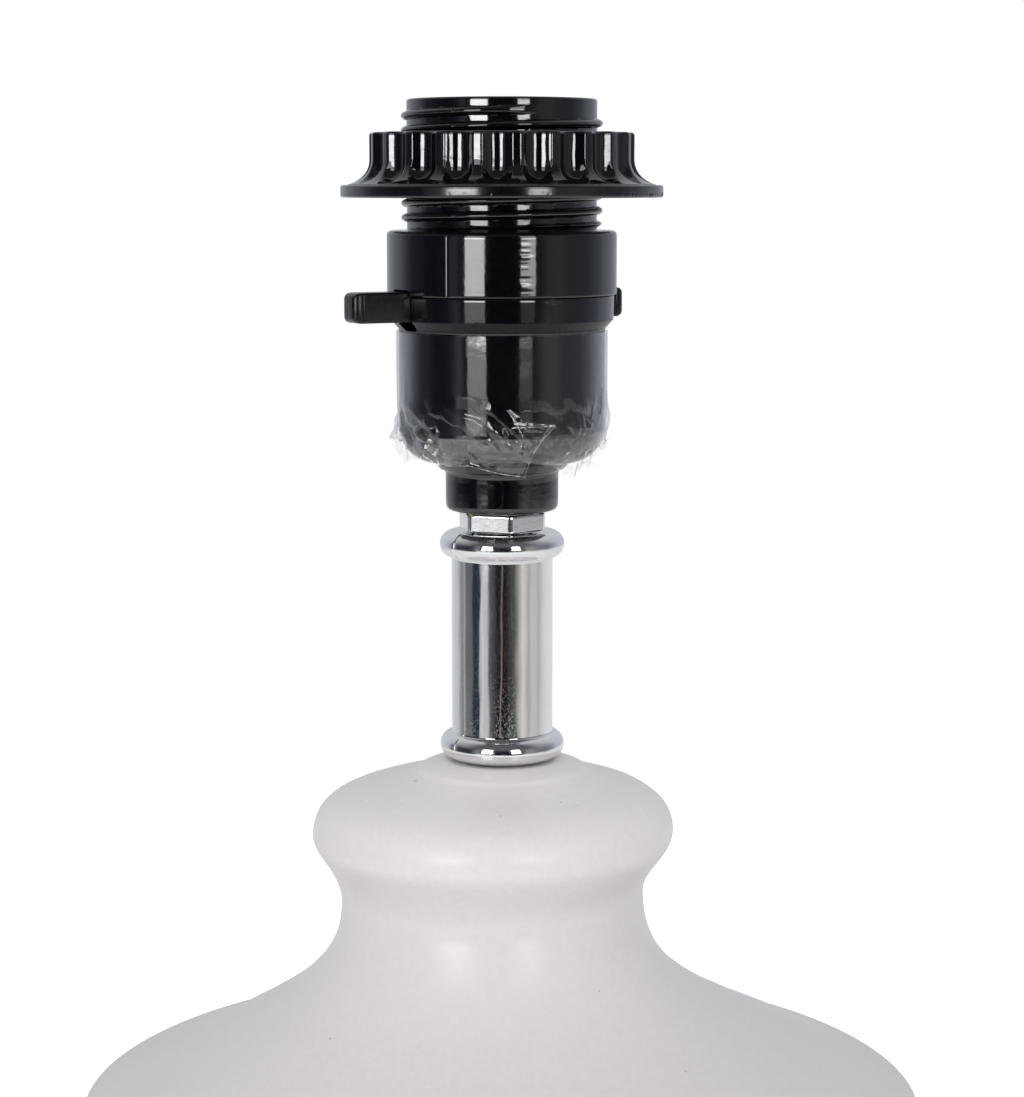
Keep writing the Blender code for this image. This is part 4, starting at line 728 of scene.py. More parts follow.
def make_nut():
    """Hexagon nut: flats with rounded corners, turned chamfers and a countersunk bore."""
    flats, bore, sink, low, high = 0.0134, 0.0053, 0.0058, NUT_BOTTOM, NUT_TOP
    corner = flats / math.sqrt(3)
    turn = math.radians(12)
    soft, domed = 0.00010, 0.0003

    def hexagon(angle, height):
        within = (angle - turn) % (math.pi / 3) - math.pi / 6
        flat = min(flats / 2 / math.cos(within), corner - 0.00022)
        from_face = min(height - low, high - height)
        cone = corner - 0.00072 + from_face * 1.75
        gap = cone - flat
        if gap < soft:
            flat = cone if gap < -soft else flat - (soft - gap) ** 2 / (4 * soft)
        return flat - (0.00012 * (1 - from_face / domed) if from_face < domed else 0.0)

    rows = [(hexagon, low + (high - low) * level) for level in (
        0.0, 0.02, 0.05, 0.09, 0.14, 0.20, 0.28, 0.5, 0.72, 0.80, 0.86, 0.91, 0.95, 0.98, 1.0)]
    rows += [(sink, high), (bore, high - 0.0004), (bore, low + 0.0004), (sink, low)]
    nut = mesh_piece("hexagon_nut", *stack(rows, 216), ZINC, "base", "bright_zinc", 38)
    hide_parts("hex_lock_nut")


# ----------------------------------------------------------------- socket cap
def make_cap():
    rim, edge = CAP_RIM, 0.0003
    cup_bore, drum_bore = CUP - CAP_WALL, rim - CAP_WALL
    shoulder, cup_floor = CUP_TOP + 0.00075, 0.28636
    profile = fillet(rim, CAP_TOP, edge, 90, 0, 4)
    profile += line((rim, CAP_TOP - 0.0006), (rim, CUP_TOP + 0.0017), 6)
    profile += arc((rim - edge, CUP_TOP + 0.00165), edge, -8, -38, 2)
    profile += [(CUP + 0.0001, CUP_TOP + 0.00012), (CUP, CUP_TOP - 0.0001)]
    profile += line((CUP, CUP_TOP - 0.0006), (CUP, CUP_BOTTOM + CUP_CORNER + 0.0002), 16)
    profile += fillet(CUP, CUP_BOTTOM, CUP_CORNER, 0, -90, 18)
    profile += fillet(0.0096, CAP_NECK_TOP, 0.0010, 90, 180, 6)
    profile += line((0.00957, CAP_NECK_TOP - 0.0013), (0.00955, CAP_BOTTOM + 0.0013), 6)
    profile += fillet(0.00953, CAP_BOTTOM, 0.0010, 0, -90, 7)
    profile += [(0.0075, CAP_BOTTOM), (0.0075, cup_floor)]
    profile += fillet(cup_bore, cup_floor, 0.0035, -90, 0, 6)
    profile += [(cup_bore, shoulder), (drum_bore, shoulder), (drum_bore, CAP_TOP)]

    def moulded(radius, angle, height):
        if height > CUP_TOP:
            outer = blend_step(rim - 0.0021, rim - 0.0018, radius)
        else:
            outer = blend_step(CUP - 0.0020, CUP - 0.0017, radius)
        ridge = 0.00003 * hump(angle_off(angle, CAP_SEAM), 0.012) * outer
        draft = (CAP_TOP - height) * 0.022 * outer if height > CUP_TOP + 0.0010 else 0.0
        return at(radius - 0.00004 * outer + ridge - draft, angle, height)

    cap = mesh_piece("cap_moulding", *lathe(profile, even_angles(240), moulded), PHENOLIC,
                     "base", "black_phenolic")
    # the through slot for the bar
    half, low, soft = 0.0026, 0.30569, 0.0012
    outline = [(half, CAP_TOP + 0.001), (-half, CAP_TOP + 0.001)]
    outline += fillet(-half, low, soft, 180, 270, 6) + fillet(half, low, soft, 270, 360, 6)
    count = len(outline)
    verts = [(x, y, z) for x in (-0.0199, 0.0199) for y, z in outline]
    faces = [tuple(range(count)), tuple(range(2 * count - 1, count - 1, -1))]
    faces += [(i, count + i, count + (i + 1) % count, (i + 1) % count) for i in range(count)]
    slot = add_object("slot_tool", new_mesh("slot_tool", verts, faces))
    # posts and ribs inside, as the CAD has them
    post_low = CAP_TOP - 0.0145
    for side in (-1, 1):
        y, wall_y = side * 0.0065, side * (cup_bore + CAP_WALL / 2)
        cut_with(cap, tool("post_tool", (0, y, post_low), (0, y, CAP_TOP), 40, 0.0028), "UNION")
        cut_with(cap, tool("rib_tool", (-0.0010, min(y, wall_y), post_low),
                           (0.0010, max(y, wall_y), shoulder - 0.0025)), "UNION")
        cut_with(cap, tool("hole_tool", (0, y, CAP_TOP - 0.0155), (0, y, CAP_TOP + 0.001),
                           32, 0.0017))
    cut_with(cap, slot)
    cap.data.materials.append(DULL_PHENOLIC)
    for face in cap.data.polygons:
        middle = face.center
        chamfer = CUP_TOP < middle.z < CUP_TOP + 0.0018
        if chamfer and math.hypot(middle.x, middle.y) > 0.0172:
            face.material_index = 1
    smooth(cap.data, 40)
    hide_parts("socket_cap")


def cup_surface(height):
    """The cup's outer radius at a height."""
    centre = CUP_BOTTOM + CUP_CORNER
    if height >= centre:
        return CUP
    if height <= CUP_BOTTOM:
        return 0.0117
    return CUP - CUP_CORNER + math.sqrt(max(0.0, CUP_CORNER ** 2 - (centre - height) ** 2))


# --------------------------------------------------------------- socket shell
def thread_turns(angle, height):
    """Turns of the barrel's right-handed thread above its start."""
    return (height - THREAD_START) / THREAD_PITCH - angle_off(angle, VIEW_ANGLE) / TURN


def from_crest(turns):
    """The distance along Z from the nearest crest."""
    return abs(turns - math.floor(turns + 0.5)) * THREAD_PITCH


def thread_height(angle, height):
    """0 in the root and 1 on the crest of the thread, which runs out below the barrel's top."""
    turns = thread_turns(angle, height)
    if turns >= 1.5:
        return 0.0
    swell = max(0.0, 1 - (from_crest(turns) / 0.00072) ** 2) ** 0.6
    if turns >= 0.5:
        off = angle_off(angle, VIEW_ANGLE)
        swell *= 1 - blend_step(math.radians(-30), math.radians(27), off)
    return swell


def seams(angle, width):
    """1 on the shell's two mould seams."""
    return sum(hump(angle_off(angle, SHELL_SEAM + side), width) for side in (0.0, math.pi))


def make_shell():
    web_low, web_top, drum_bore = 0.31464, 0.31724, DRUM - 0.0025
    outer = fillet(BARREL_BORE, BARREL_TOP, 0.0003, 180, 90, 3)
    outer += fillet(THREAD_CORE, BARREL_TOP, 0.0004, 90, 0, 5)
    height = BARREL_TOP - 0.0005
    while height > DRUM_TOP + 0.0003:
        outer.append((THREAD_CORE, height))
        height -= 0.00012
    outer += fillet(THREAD_CORE, DRUM_TOP, 0.0003, 180, 270, 3)
    outer += line((0.0165, DRUM_TOP), (DRUM - 0.0010, DRUM_TOP), 3)
    outer += fillet(DRUM, DRUM_TOP, 0.0008, 90, 0, 7)
    outer += line((DRUM, DRUM_TOP - 0.0012), (DRUM, SHELL_BOTTOM + 0.0002), 60)
    outer += arc((DRUM - 0.0002, SHELL_BOTTOM), 0.0002, 0, -90, 3)
    outer += [(0.0180, SHELL_BOTTOM - 0.0002)]

    def moulded(radius, angle, height):
        if height <= DRUM_TOP + 0.0001 or radius < 0.0156:
            off = math.degrees(angle_off(angle, VIEW_ANGLE))
            ragged = 0.000036 * noise.noise(Vector((height * 1600, 2.2, 0.5))) \
                * hump(off - 10.5, 3.5)
            ragged += 0.000016 * noise.noise(Vector((height * 300, 5.2, 0.5))) * hump(off + 17, 5)
            ragged -= 0.000024 * hump(off + 21, 5)
            step = 0.00002 * blend_step(0.0, 0.006, angle_off(angle, SHELL_SEAM))
            drum = blend_step(0.0185, 0.0190, radius)
            mark = 0.00005 * seams(angle, 0.006)
            return at(radius + (ragged - mark - step) * drum, angle, height)
        if height > BARREL_TOP - 0.0005:
            return at(radius, angle, height)
        swell = thread_height(angle, height)
        if height < DRUM_TOP + 0.0013:
            swell *= blend_step(DRUM_TOP + 0.0002, DRUM_TOP + 0.0013, height)
        flat = 0.00016 * seams(angle, 0.012)
        reach = THREAD_CORE + (THREAD_CREST - THREAD_CORE) * swell - flat * swell
        return at(reach, angle, height)

    angles = seamed_angles(288, SHELL_SEAM, SHELL_SEAM + math.pi)
    verts, faces = lathe(outer, angles, moulded, closed=False)
    steps = len(angles)
    count = len(verts) // steps
    # each open edge goes on inside, to the web's face
    for first, radius, height, web in ((0, BARREL_BORE, BARREL_TOP - 0.0005, web_top),
                                       (count - 1, drum_bore, SHELL_BOTTOM, web_low)):
        before = [step * count + first for step in range(steps)]
        for level in (height, web):
            row = [len(verts) + step for step in range(steps)]
            verts += [at(radius, angle, level) for angle in angles]
            faces += [(before[s], before[(s + 1) % steps], row[(s + 1) % steps], row[s])
                      for s in range(steps)]
            before = row
        verts.append((0, 0, web))
        faces += [(before[s], before[(s + 1) % steps], len(verts) - 1) for s in range(steps)]
    shell = mesh_piece("shell_moulding", verts, faces, PHENOLIC, "base", "black_phenolic")
    cut_with(shell, tool("notch_tool", (-0.0203, -0.0026, SHELL_BOTTOM - 0.001),
                         (0.0203, 0.0026, 0.31259)))
    smooth(shell.data, 45)
    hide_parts("socket_shell")


# ----------------------------------------------------------------- shade ring
def soft_min(first, second, soft):
    gap = abs(first - second)
    if gap >= soft:
        return min(first, second)
    return min(first, second) - (soft - gap) ** 2 / (4 * soft)


def make_ring():
    """Flutes cut into a flared ring, a worn flange, and a thread in the bore."""
    top_radius, flange, bore = 0.02215, 0.0270, 0.01715
    flange_top = RING_BOTTOM + 0.00205
    flare_top = flange_top + 0.0042
    spread = flange - 0.0003 - top_radius
    edge, chamfer = 0.0005, 0.0006
    flare = bezier((top_radius, flare_top), (top_radius, flare_top - 0.0042 * 0.62),
                   (top_radius + spread * (1 - 0.45), flange_top),
                   (top_radius + spread, flange_top), 60)
    flutes, flute_shift = 22, 0.557
    cutter, cutter_centre = 0.0027, 0.0236
    end_centre = flange_top + 0.0003 + cutter

    def flare_radius(height):
        if height >= flare_top:
            return top_radius
        for (r_high, z_high), (r_low, z_low) in zip(flare, flare[1:]):
            if z_low <= height <= z_high:
                share = (height - z_low) / max(z_high - z_low, 1e-9)
                return r_low + (r_high - r_low) * share
        return top_radius + spread

    def flute_floor(angle, height):
        """Radius of the flute's surface on this ray, or a large number beside it."""
        index = round((angle / TURN) * flutes - flute_shift)
        off = angle_off(angle, TURN * (index + flute_shift) / flutes)
        across = cutter_centre * math.sin(off)
        reach = cutter
        if height < end_centre:
            drop = end_centre - height
            if drop >= cutter:
                return 1.0
            reach = math.sqrt(cutter ** 2 - drop ** 2)
        if abs(across) >= reach:
            return 1.0
        return cutter_centre * math.cos(off) - math.sqrt(reach ** 2 - across ** 2)

    def side(angle, height):
        drop = RING_TOP - height
        rounding = 0.0
        if drop < edge:
            rounding = edge - math.sqrt(max(0.0, edge ** 2 - (edge - drop) ** 2))
        floor = flute_floor(angle, min(height, RING_TOP - chamfer))
        rough = 0.000018 * (1 + round_noise(angle, 26, height * 420))
        return soft_min(flare_radius(height), floor, 0.00075) - rounding - rough

    def top_row(share):
        def radius_of(angle, height):
            end = soft_min(top_radius, flute_floor(angle, height - chamfer), 0.0003) - 0.00055
            return bore + 0.0007 + share * (end - bore - 0.0007)
        return radius_of

    def worn_row(radius):
        """The flange's edge: fine chips low down, and larger ones where it was knocked."""
        def radius_of(angle, height):
            chip = 0.00012 * max(0.0, round_noise(angle, 60, 3.1) - 0.35)
            worn = hump(angle_off(angle, VIEW_ANGLE + math.radians(68)), 0.32)
            chip += 0.00035 * worn * max(0.0, round_noise(angle, 190, 7.7) - 0.05)
            return radius - (chip if height < RING_BOTTOM + 0.0009 else 0.0) - 0.00001
        return radius_of if radius > flange - 0.0009 else radius

    def thread(angle, height):
        cut = 1 - blend_step(0.00030, 0.00095, from_crest(thread_turns(angle, height)))
        ends = min(1.0, min(height - RING_BOTTOM - chamfer, RING_TOP - chamfer - height) / chamfer)
        return bore + 0.0007 * cut * max(0.0, ends)

    rows = [(bore, RING_TOP - chamfer), (bore + 0.0003, RING_TOP - 0.00018),
            (bore + 0.0007, RING_TOP)]
    rows += [(top_row(share), RING_TOP) for share in (0.3, 0.6, 0.85)]
    rows += [(side, RING_TOP - edge * (index / 4) ** 1.6) for index in range(5)]
    depth = RING_TOP - edge - flange_top - 0.0001
    rows += [(side, RING_TOP - edge - depth * index / 56) for index in range(1, 57)]
    outline = [(flange - 0.0012, flange_top + 0.00002), (flange - 0.0006, flange_top)]
    outline += fillet(flange, flange_top, 0.0004, 80, 0, 5)
    outline += line((flange, flange_top - 0.0008), (flange, RING_BOTTOM + 0.0006), 4)
    outline += fillet(flange, RING_BOTTOM, 0.0004, 0, -90, 5)
    outline += [(flange - 0.0016, RING_BOTTOM), (0.0215, RING_BOTTOM),
                (bore + 0.0007, RING_BOTTOM), (bore + 0.0003, RING_BOTTOM + 0.00018),
                (bore, RING_BOTTOM + chamfer)]
    rows += [(worn_row(radius), height) for radius, height in outline]
    height = RING_BOTTOM + 0.0007
    while height < RING_TOP - 0.0007:
        rows.append((thread, height))
        height += 0.0002
    ring = mesh_piece("fluted_ring", *stack(rows, 720), RING_PHENOLIC, "ring",
                      "ring_phenolic", 60)
    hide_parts("shade_ring")


# ------------------------------------------------------- screw shell (inside)
def make_screw_shell():
    bottom, outer, hole, bend, sheet = 0.31754, 0.0136, 0.0099, 0.0008, 0.0004
    top = bottom + 0.0245
    pitch, count = 0.00363, 120

    def wall(angle, height):
        wave = (1 + math.cos(TURN * (height / pitch - angle / TURN))) / 2
        ends = min(blend_step(bottom + 0.0026, bottom + 0.0052, height),
                   1 - blend_step(top - 0.0030, top - 0.0012, height))
        return outer - 0.00075 * wave * ends

    def wall_inside(angle, height):
        return wall(angle, height) - sheet

    rows = [(wall, top - (top - bottom - bend) * index / count) for index in range(count + 1)]
    rows += fillet(outer, bottom, bend, -10, -90, 6) + [(hole, bottom), (hole, bottom + sheet)]
    rows += arc((outer - bend, bottom + bend), 0.0004, -90, 0, 4)
    rows += [(wall_inside, top - (top - bottom - 0.0012) * index / count)
             for index in range(count - 1, -1, -1)]
    shell = mesh_piece("rolled_screw_shell", *stack(rows, 144), ALUMINIUM, "base",
                       "shell_aluminium", 60)
    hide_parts("screw_shell")


# ----------------------------------------------------------------- switch bar
def make_bar():
    """Rounded-rectangle sections along X, with ridged ends that dome outwards."""
    left, right, centre = -0.0289, 0.0230, 0.30979
    half_y, half_z, edge = 0.0023, 0.0025, 0.00045
    length, taper, ridge = 0.00150, 0.0010, 0.00162
    corner_count = 5

    def dome(distance):
        if distance >= length:
            return 0.0
        t = 1 - distance / length
        return taper * (1 - math.sqrt(max(0.0, 1 - t * t)))

    stops = (0.0, 0.00003, 0.00010, 0.00022, 0.00040, 0.00062, 0.00088, 0.00115, 0.00135, length,
             ridge, 0.00174, 0.00190)
    sections = [(left + stop, dome(stop)) for stop in stops]
    sections += [(x, 0.0) for x in (-0.024, -0.018, -0.010, 0.0, 0.010, 0.018)]
    sections += [(right - stop, dome(stop)) for stop in reversed(stops)]
    verts = []
    for x, inset in sections:
        if min(abs(x - left - ridge), abs(x - right + ridge)) < 0.00003:
            inset += 0.00006
        y, z = half_y - inset, half_z - inset
        for side_y, side_z, start in ((1, 1, 0), (-1, 1, 90), (-1, -1, 180), (1, -1, 270)):
            verts += [(x, place, centre + rise) for place, rise in fillet(
                side_y * y, side_z * z, edge, start, start + 90, corner_count)]
    around = 4 * (corner_count + 1)
    faces = row_faces(len(sections), around, False)
    faces.append(tuple(range(around)))
    faces.append(tuple(range(len(verts) - around, len(verts)))[::-1])
    bar = mesh_piece("push_bar", verts, faces, BAR_PHENOLIC, "switch", "bar_phenolic")
    # the groove in its underside for the bridge contact
    cut_with(bar, tool("bridge_tool", (-0.0053, -0.0017, 0.3068),
                       (0.0043, 0.0017, 0.30729 + 0.0006)))
    smooth(bar.data, 32)
    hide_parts("switch_bar")


# ---------------------------------------------------------------- clear film
FILM_INNER, FILM_THICK = 0.0177, 0.00010
FILM_TOP, FILM_BREAK = CUP_TOP - 0.0004, 0.2935
# Places on the film are (degrees right of the camera, height, radius)
FILM_EDGE = (
    (-180, 0.2842, 0.0152), (-158, 0.2860, 0.0170), (-140, 0.2846, 0.0168),
    (-118, 0.2834, 0.0150), (-104, 0.2862, 0.0176), (-92, 0.2872, 0.0183),
    (-83, 0.2874, 0.0184), (-69, 0.2838, 0.0175), (-57, 0.2846, 0.0175), (-46, 0.2854, 0.0174),
    (-39, 0.2841, 0.0166), (-33, 0.2848, 0.0158), (-20, 0.2860, 0.0168), (5, 0.2852, 0.0164),
    (20, 0.2846, 0.0156), (28, 0.2838, 0.0150), (45, 0.2832, 0.0146), (60, 0.2831, 0.0148),
    (69, 0.2847, 0.0160), (75, 0.2864, 0.0172), (83, 0.2880, 0.0179), (100, 0.2868, 0.0174),
    (122, 0.2838, 0.0150), (150, 0.2850, 0.0166), (180, 0.2842, 0.0152))
FLAP_TOP = ((-36, 0.2930, 0.01788), (-15, 0.2925, 0.01790), (5.5, 0.29155, 0.01800),
            (28.5, 0.29088, 0.01825))
FLAP_LOW = ((-36, 0.28377, 0.0156), (-18, 0.28416, 0.0170), (-1.3, 0.28291, 0.0169),
            (12.7, 0.28229, 0.0169))
# Creases: start and end in degrees and height, then how proud and how wide
CREASES = (
    (-56, 0.28916, -44, 0.29123, 0.00026, 0.00045), (-56, 0.28916, -37, 0.28723, 0.00030, 0.00050),
    (-37, 0.28723, -34, 0.28520, 0.00022, 0.00040), (-56, 0.28916, -70, 0.28800, 0.00018, 0.00060),
    (-72, 0.2920, -64, 0.2862, 0.00016, 0.00060), (-80, 0.2946, -76, 0.2890, 0.00014, 0.00055),
    (58, 0.2932, 59.5, 0.2858, 0.00026, 0.00045), (70, 0.2960, 66, 0.2880, 0.00016, 0.00050),
    (78, 0.2950, 76, 0.2874, 0.00018, 0.00045), (46, 0.2886, 60, 0.2912, 0.00014, 0.00045),
    (34, 0.2862, 52, 0.2884, 0.00014, 0.00050))
FLAP_CREASES = (
    (5.5, 0.2916, 14, 0.2903, 0.00020, 0.00030), (14, 0.2903, 22, 0.2899, 0.00012, 0.00030),
    (24, 0.2905, 16, 0.2868, 0.00018, 0.00040), (12, 0.2880, 9, 0.2830, 0.00012, 0.00045),
    (-6, 0.2885, 4, 0.2838, 0.00010, 0.00060), (-28, 0.2890, -14, 0.2850, 0.00014, 0.00060))
# Torn slivers that stand off the edge, from root to tip
SLIVERS = (
    ((66, 0.2846, 0.0156), (84, 0.2868, 0.0177)), ((70, 0.2856, 0.0164), (87, 0.2878, 0.0181)),
    ((60, 0.2840, 0.0150), (75, 0.2848, 0.0168)), ((52, 0.2838, 0.0148), (67, 0.2833, 0.0157)),
    ((72, 0.2862, 0.0169), (85, 0.2858, 0.0175)), ((47, 0.2842, 0.0150), (70, 0.2864, 0.0173)),
    ((75, 0.2872, 0.0175), (80, 0.2848, 0.0172)), ((63, 0.2844, 0.0153), (70, 0.2827, 0.0157)),
    ((62, 0.2838, 0.0150), (79, 0.2830, 0.0157)), ((-38, 0.2848, 0.0164), (-37, 0.2829, 0.0158)),
    ((-47, 0.2860, 0.0175), (-50, 0.2848, 0.0176)), ((-160, 0.2866, 0.0171), (-166, 0.2846, 0.0170)))


def along(table, place):
    """The row that a table would have at a place between two of its rows."""
    for before, after in zip(table, table[1:]):
        if place <= after[0]:
            return between(before, after, (place - before[0]) / (after[0] - before[0]))
    return list(table[-1])


def facets(turn_share, height, around, cell):
    """Flat triangles between random heights, 0 to 1, as in crumpled foil."""
    swirl = Vector((*at(3, turn_share * TURN, height * 260),))
    u = turn_share * around + 0.6 * noise.noise(swirl)
    v = height / cell + 0.6 * noise.noise(swirl + Vector((7, 3, 5)))
    i, j = math.floor(u), math.floor(v)
    fu, fv = u - i, v - j

    def corner(a, b):
        return noise.cell(Vector(((i + a) % around + 0.5, j + b + 0.5, around + 0.5)))

    if fu + fv < 1:
        low = corner(0, 0)
        return low + (corner(1, 0) - low) * fu + (corner(0, 1) - low) * fv
    high = corner(1, 1)
    return high + (corner(0, 1) - high) * (1 - fu) + (corner(1, 0) - high) * (1 - fv)


def ridges(lines, off, height):
    """How proud the sharp creases make a place that is off degrees from the camera side."""
    rise = 0.0
    scale = math.radians(1) * FILM_INNER
    for start, low, end, high, proud, wide in lines:
        run, climb = (end - start) * scale, high - low
        x, y = (off - start) * scale, height - low
        share = max(0.0, min(1.0, (x * run + y * climb) / (run * run + climb * climb)))
        gap = math.hypot(x - run * share, y - climb * share)
        rise = max(rise, proud * max(0.0, 1 - gap / wide))
    return rise


def sleeve_point(turn_share, level):
    """The sleeve lies tight above and hangs crumpled below; level runs from 0 on top to 1."""
    off = turn_share * 360 - 180
    angle = VIEW_ANGLE + math.radians(off)
    _, edge_height, edge_radius = along(FILM_EDGE, off)
    shred = blend_step(36, 46, off) * (1 - blend_step(92, 104, off))
    jag = noise.cell(Vector((math.floor(turn_share * 150) + 0.5, 3.5, 1.5))) - 0.5
    edge_height += jag * (0.00025 + 0.0009 * shred)
    tight = 0.2
    drop = 0.0
    if level < tight:
        height = FILM_TOP + (FILM_BREAK - FILM_TOP) * level / tight
    else:
        drop = (level - tight) / 0.8
        height = FILM_BREAK + (edge_height - FILM_BREAK) * drop
    crumple = (facets(turn_share, height, 26, 0.0034) * 0.00080
               + facets(turn_share, height, 64, 0.0017) * 0.00034)
    crumple += shred * facets(turn_share, height, 120, 0.0042) * 0.00044
    side = blend_step(50, 80, abs(off)) * blend_step(0.3010, 0.2930, height)
    crumple = (crumple * blend_step(0.2955, 0.2895, height)
               + side * facets(turn_share, height, 90, 0.0070) * 0.00012)
    calm = 0.00003 * (1 + round_noise(angle, 4, height * 120))
    radius = FILM_INNER + (edge_radius - FILM_INNER) * drop ** 1.5
    radius += crumple + calm + ridges(CREASES, off, height)
    if -40 < off < 30:
        radius = min(radius, FILM_INNER + 0.00012)
    return max(radius, cup_surface(height) + 0.00014), angle, height


def flap_point(across, level):
    """The loose flap hangs over the front of the sleeve from a fold."""
    top, low = (along(table, table[0][0] + (table[-1][0] - table[0][0]) * across)
                for table in (FLAP_TOP, FLAP_LOW))
    off, height, radius = between(top, low, level)
    off -= 3.0 * math.sin(math.pi * level) * across ** 3
    turn_share = (off + 180) / 360
    slack = 0.00042 * math.sin(math.pi * min(1.0, level * 1.15))
    fold = 0.00030 * hump(level - 0.03, 0.022) * blend_step(3, 9, off)
    crumple = 0.00040 * facets(turn_share, height, 36, 0.0034) * blend_step(0.0, 0.25, level)
    crumple += 0.00014 * facets(turn_share, height, 90, 0.0018)
    hem = 0.00022 * hump(level - 0.985, 0.020) + 0.00026 * hump(across - 0.988, 0.012)
    radius += slack + fold + crumple + hem + ridges(FLAP_CREASES, off, height)
    return max(radius, cup_surface(height) + 0.00060), VIEW_ANGLE + math.radians(off), height


def sleeve_milky(across, level):
    fray = noise.noise(Vector((across * 90, level * 4, 2.5)))
    frayed = level > 0.965 + 0.03 * fray or (level > 0.75 and fray > 0.38)
    return abs(across * 360 - 180) > 38 and frayed


# Painted highlights: the white fold and the strand across the flap stand for light caught there; its
# white lower and right edges are cut film
def flap_highlights_and_white_edges(across, level):
    start = 0.66
    fold = start < across and level < 0.050 - 0.020 * (across - start) / 0.34
    strand = start < across < 0.98 and abs(level - 0.115 + 0.09 * (across - start) / 0.32) < 0.010
    return fold or strand or level > 0.985 or across > 0.991


def make_film():
    """A shrunk sleeve: smooth above, crumpled and torn below, with one loose flap in front."""
    verts, faces, white_edge_and_highlight_faces = [], [], []

    def sheet(point, columns, rows, wraps, white_edge_and_highlight):
        """Both sides of a grid of points and the strips along its open edges."""
        first = len(verts)
        wide = columns if wraps else columns + 1
        back = wide * (rows + 1)
        for side in (0, FILM_THICK):
            for row in range(rows + 1):
                for column in range(wide):
                    radius, angle, height = point(column / columns, row / rows)
                    verts.append(at(radius + side, angle, height))

        def strip(a, b):
            faces.append((a, b, b + back, a + back))

        for row in range(rows):
            for column in range(columns):
                a = first + row * wide + column
                b = first + row * wide + (column + 1) % wide
                if white_edge_and_highlight((column + 0.5) / columns, (row + 0.5) / rows):
                    white_edge_and_highlight_faces.append(len(faces) + 1)
                faces.append((a, a + wide, b + wide, b))
                faces.append((a + back, b + back, b + wide + back, a + wide + back))
        last = first + rows * wide
        for column in range(columns):
            after = (column + 1) % wide
            strip(first + column, first + after)
            strip(last + after, last + column)
        if not wraps:
            for start in range(first, last, wide):
                strip(start + wide, start)
                strip(start + columns, start + wide + columns)

    sheet(sleeve_point, 540, 76, True, sleeve_milky)
    sheet(flap_point, 130, 64, False, flap_highlights_and_white_edges)
    for root, tip in SLIVERS:
        first = len(verts)
        for share, wide in ((0.0, 0.00030), (0.35, 0.00018), (0.7, 0.00015), (1.0, 0.00005)):
            off, height, radius = between(root, tip, share)
            height += 0.0004 * math.sin(share * math.pi * 1.6 + root[0])
            angle = VIEW_ANGLE + math.radians(off)
            for lift, out in ((wide, 0.00012), (wide, 0.00022), (-wide, 0.00022),
                              (-wide, 0.00012)):
                verts.append(at(radius + out, angle, height + lift / 2))
        for a in range(first, first + 12, 4):
            faces += [(a + k, a + (k + 1) % 4, a + 4 + (k + 1) % 4, a + 4 + k) for k in range(4)]
        faces.append((first, first + 3, first + 2, first + 1))
        faces.append((first + 12, first + 13, first + 14, first + 15))
    film = mesh_piece("clear_sleeve", verts, faces, FILM, "base", "clear_film", 14)
    # White faces: torn film on the sleeve, and painted highlight lines and cut edges on the flap
    film.data.materials.append(WHITE_EDGES_AND_PAINTED_HIGHLIGHTS)
    for index in white_edge_and_highlight_faces:
        film.data.polygons[index].material_index = 1
    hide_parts("label_film")


# ----------------------------------------------------- stage, lamps and camera
def make_floor():
    """A white disc that glows for the camera alone."""
    steps, level = 96, -0.0001
    verts = [(0, 0, level)]
    for radius in (0.2, 0.5, 1.0):
        verts += [at(radius, angle, level) for angle in even_angles(steps)]
    faces = []
    for step in range(steps):
        after = (step + 1) % steps
        faces.append((0, 1 + step, 1 + after))
        for a in (1, 1 + steps):
            faces.append((a + step, a + steps + step, a + steps + after, a + after))
    mesh = bpy.data.meshes.new("floor")
    mesh.from_pydata(verts, [], faces)
    floor = add_object("floor", mesh)
    made = Surface("floor_white", (0.82, 0.82, 0.82), 0.9)
    made.into(made.ramp(made.noise(3.0), (0.3, 0.81), (0.7, 0.83)), "Base Color")
    plain = made.shader.outputs["BSDF"]
    glow = made.node("ShaderNodeEmission", {"Color": (1, 1, 1), "Strength": 0.50})
    glowing = made.node("ShaderNodeAddShader", {0: plain, 1: glow.outputs["Emission"]})
    seen = made.node("ShaderNodeLightPath", {}).outputs["Is Camera Ray"]
    made.show(made.shader_mix(seen, plain, glowing.outputs["Shader"]))
    mesh.materials.append(made.material)


def softbox(name, degrees_right, width, low, high, radiance):
    """An upright area lamp that faces the object, out of the camera's sight."""
    height, distance = high - low, 1.2
    data = bpy.data.lights.new(name, "AREA")
    data.shape = "RECTANGLE"
    data.size = width
    data.size_y = height
    data.energy = radiance * math.pi * width * height
    lamp = add_object(name, data)
    place = Vector(at(distance, VIEW_ANGLE + math.radians(degrees_right), (low + high) / 2))
    lamp.location = place
    aim = Vector((0, 0, place.z)) - place
    lamp.rotation_euler = aim.to_track_quat("-Z", "Y").to_euler()
    lamp.visible_camera = False


# The studio that polished surfaces reflect: degrees right of the camera, then the colour in
# hundredths. At eye level: white walls behind, black flags beside and a dark room in front.
WALLS = (
    (-180, 52, 54, 57), (-150, 57, 61, 68), (-132, 52, 54, 62), (-120, 45, 46, 55),
    (-112, 27, 27, 33), (-101, 10, 10, 13), (-90, 8, 8, 11), (-80, 4, 4, 5), (-70, 2, 3, 4),
    (-58, 5, 5, 7), (-47, 24, 23, 27), (-41, 5, 5, 6), (-12, 1, 1, 1.5), (14, 1, 1, 1.5),
    (38, 8, 8, 8), (48, 25, 24, 24), (60, 26, 26, 26), (70, 18, 18, 19), (92, 17, 17, 21),
    (110, 30, 31, 36), (124, 47, 50, 60), (160, 55, 58, 66), (180, 52, 54, 57))
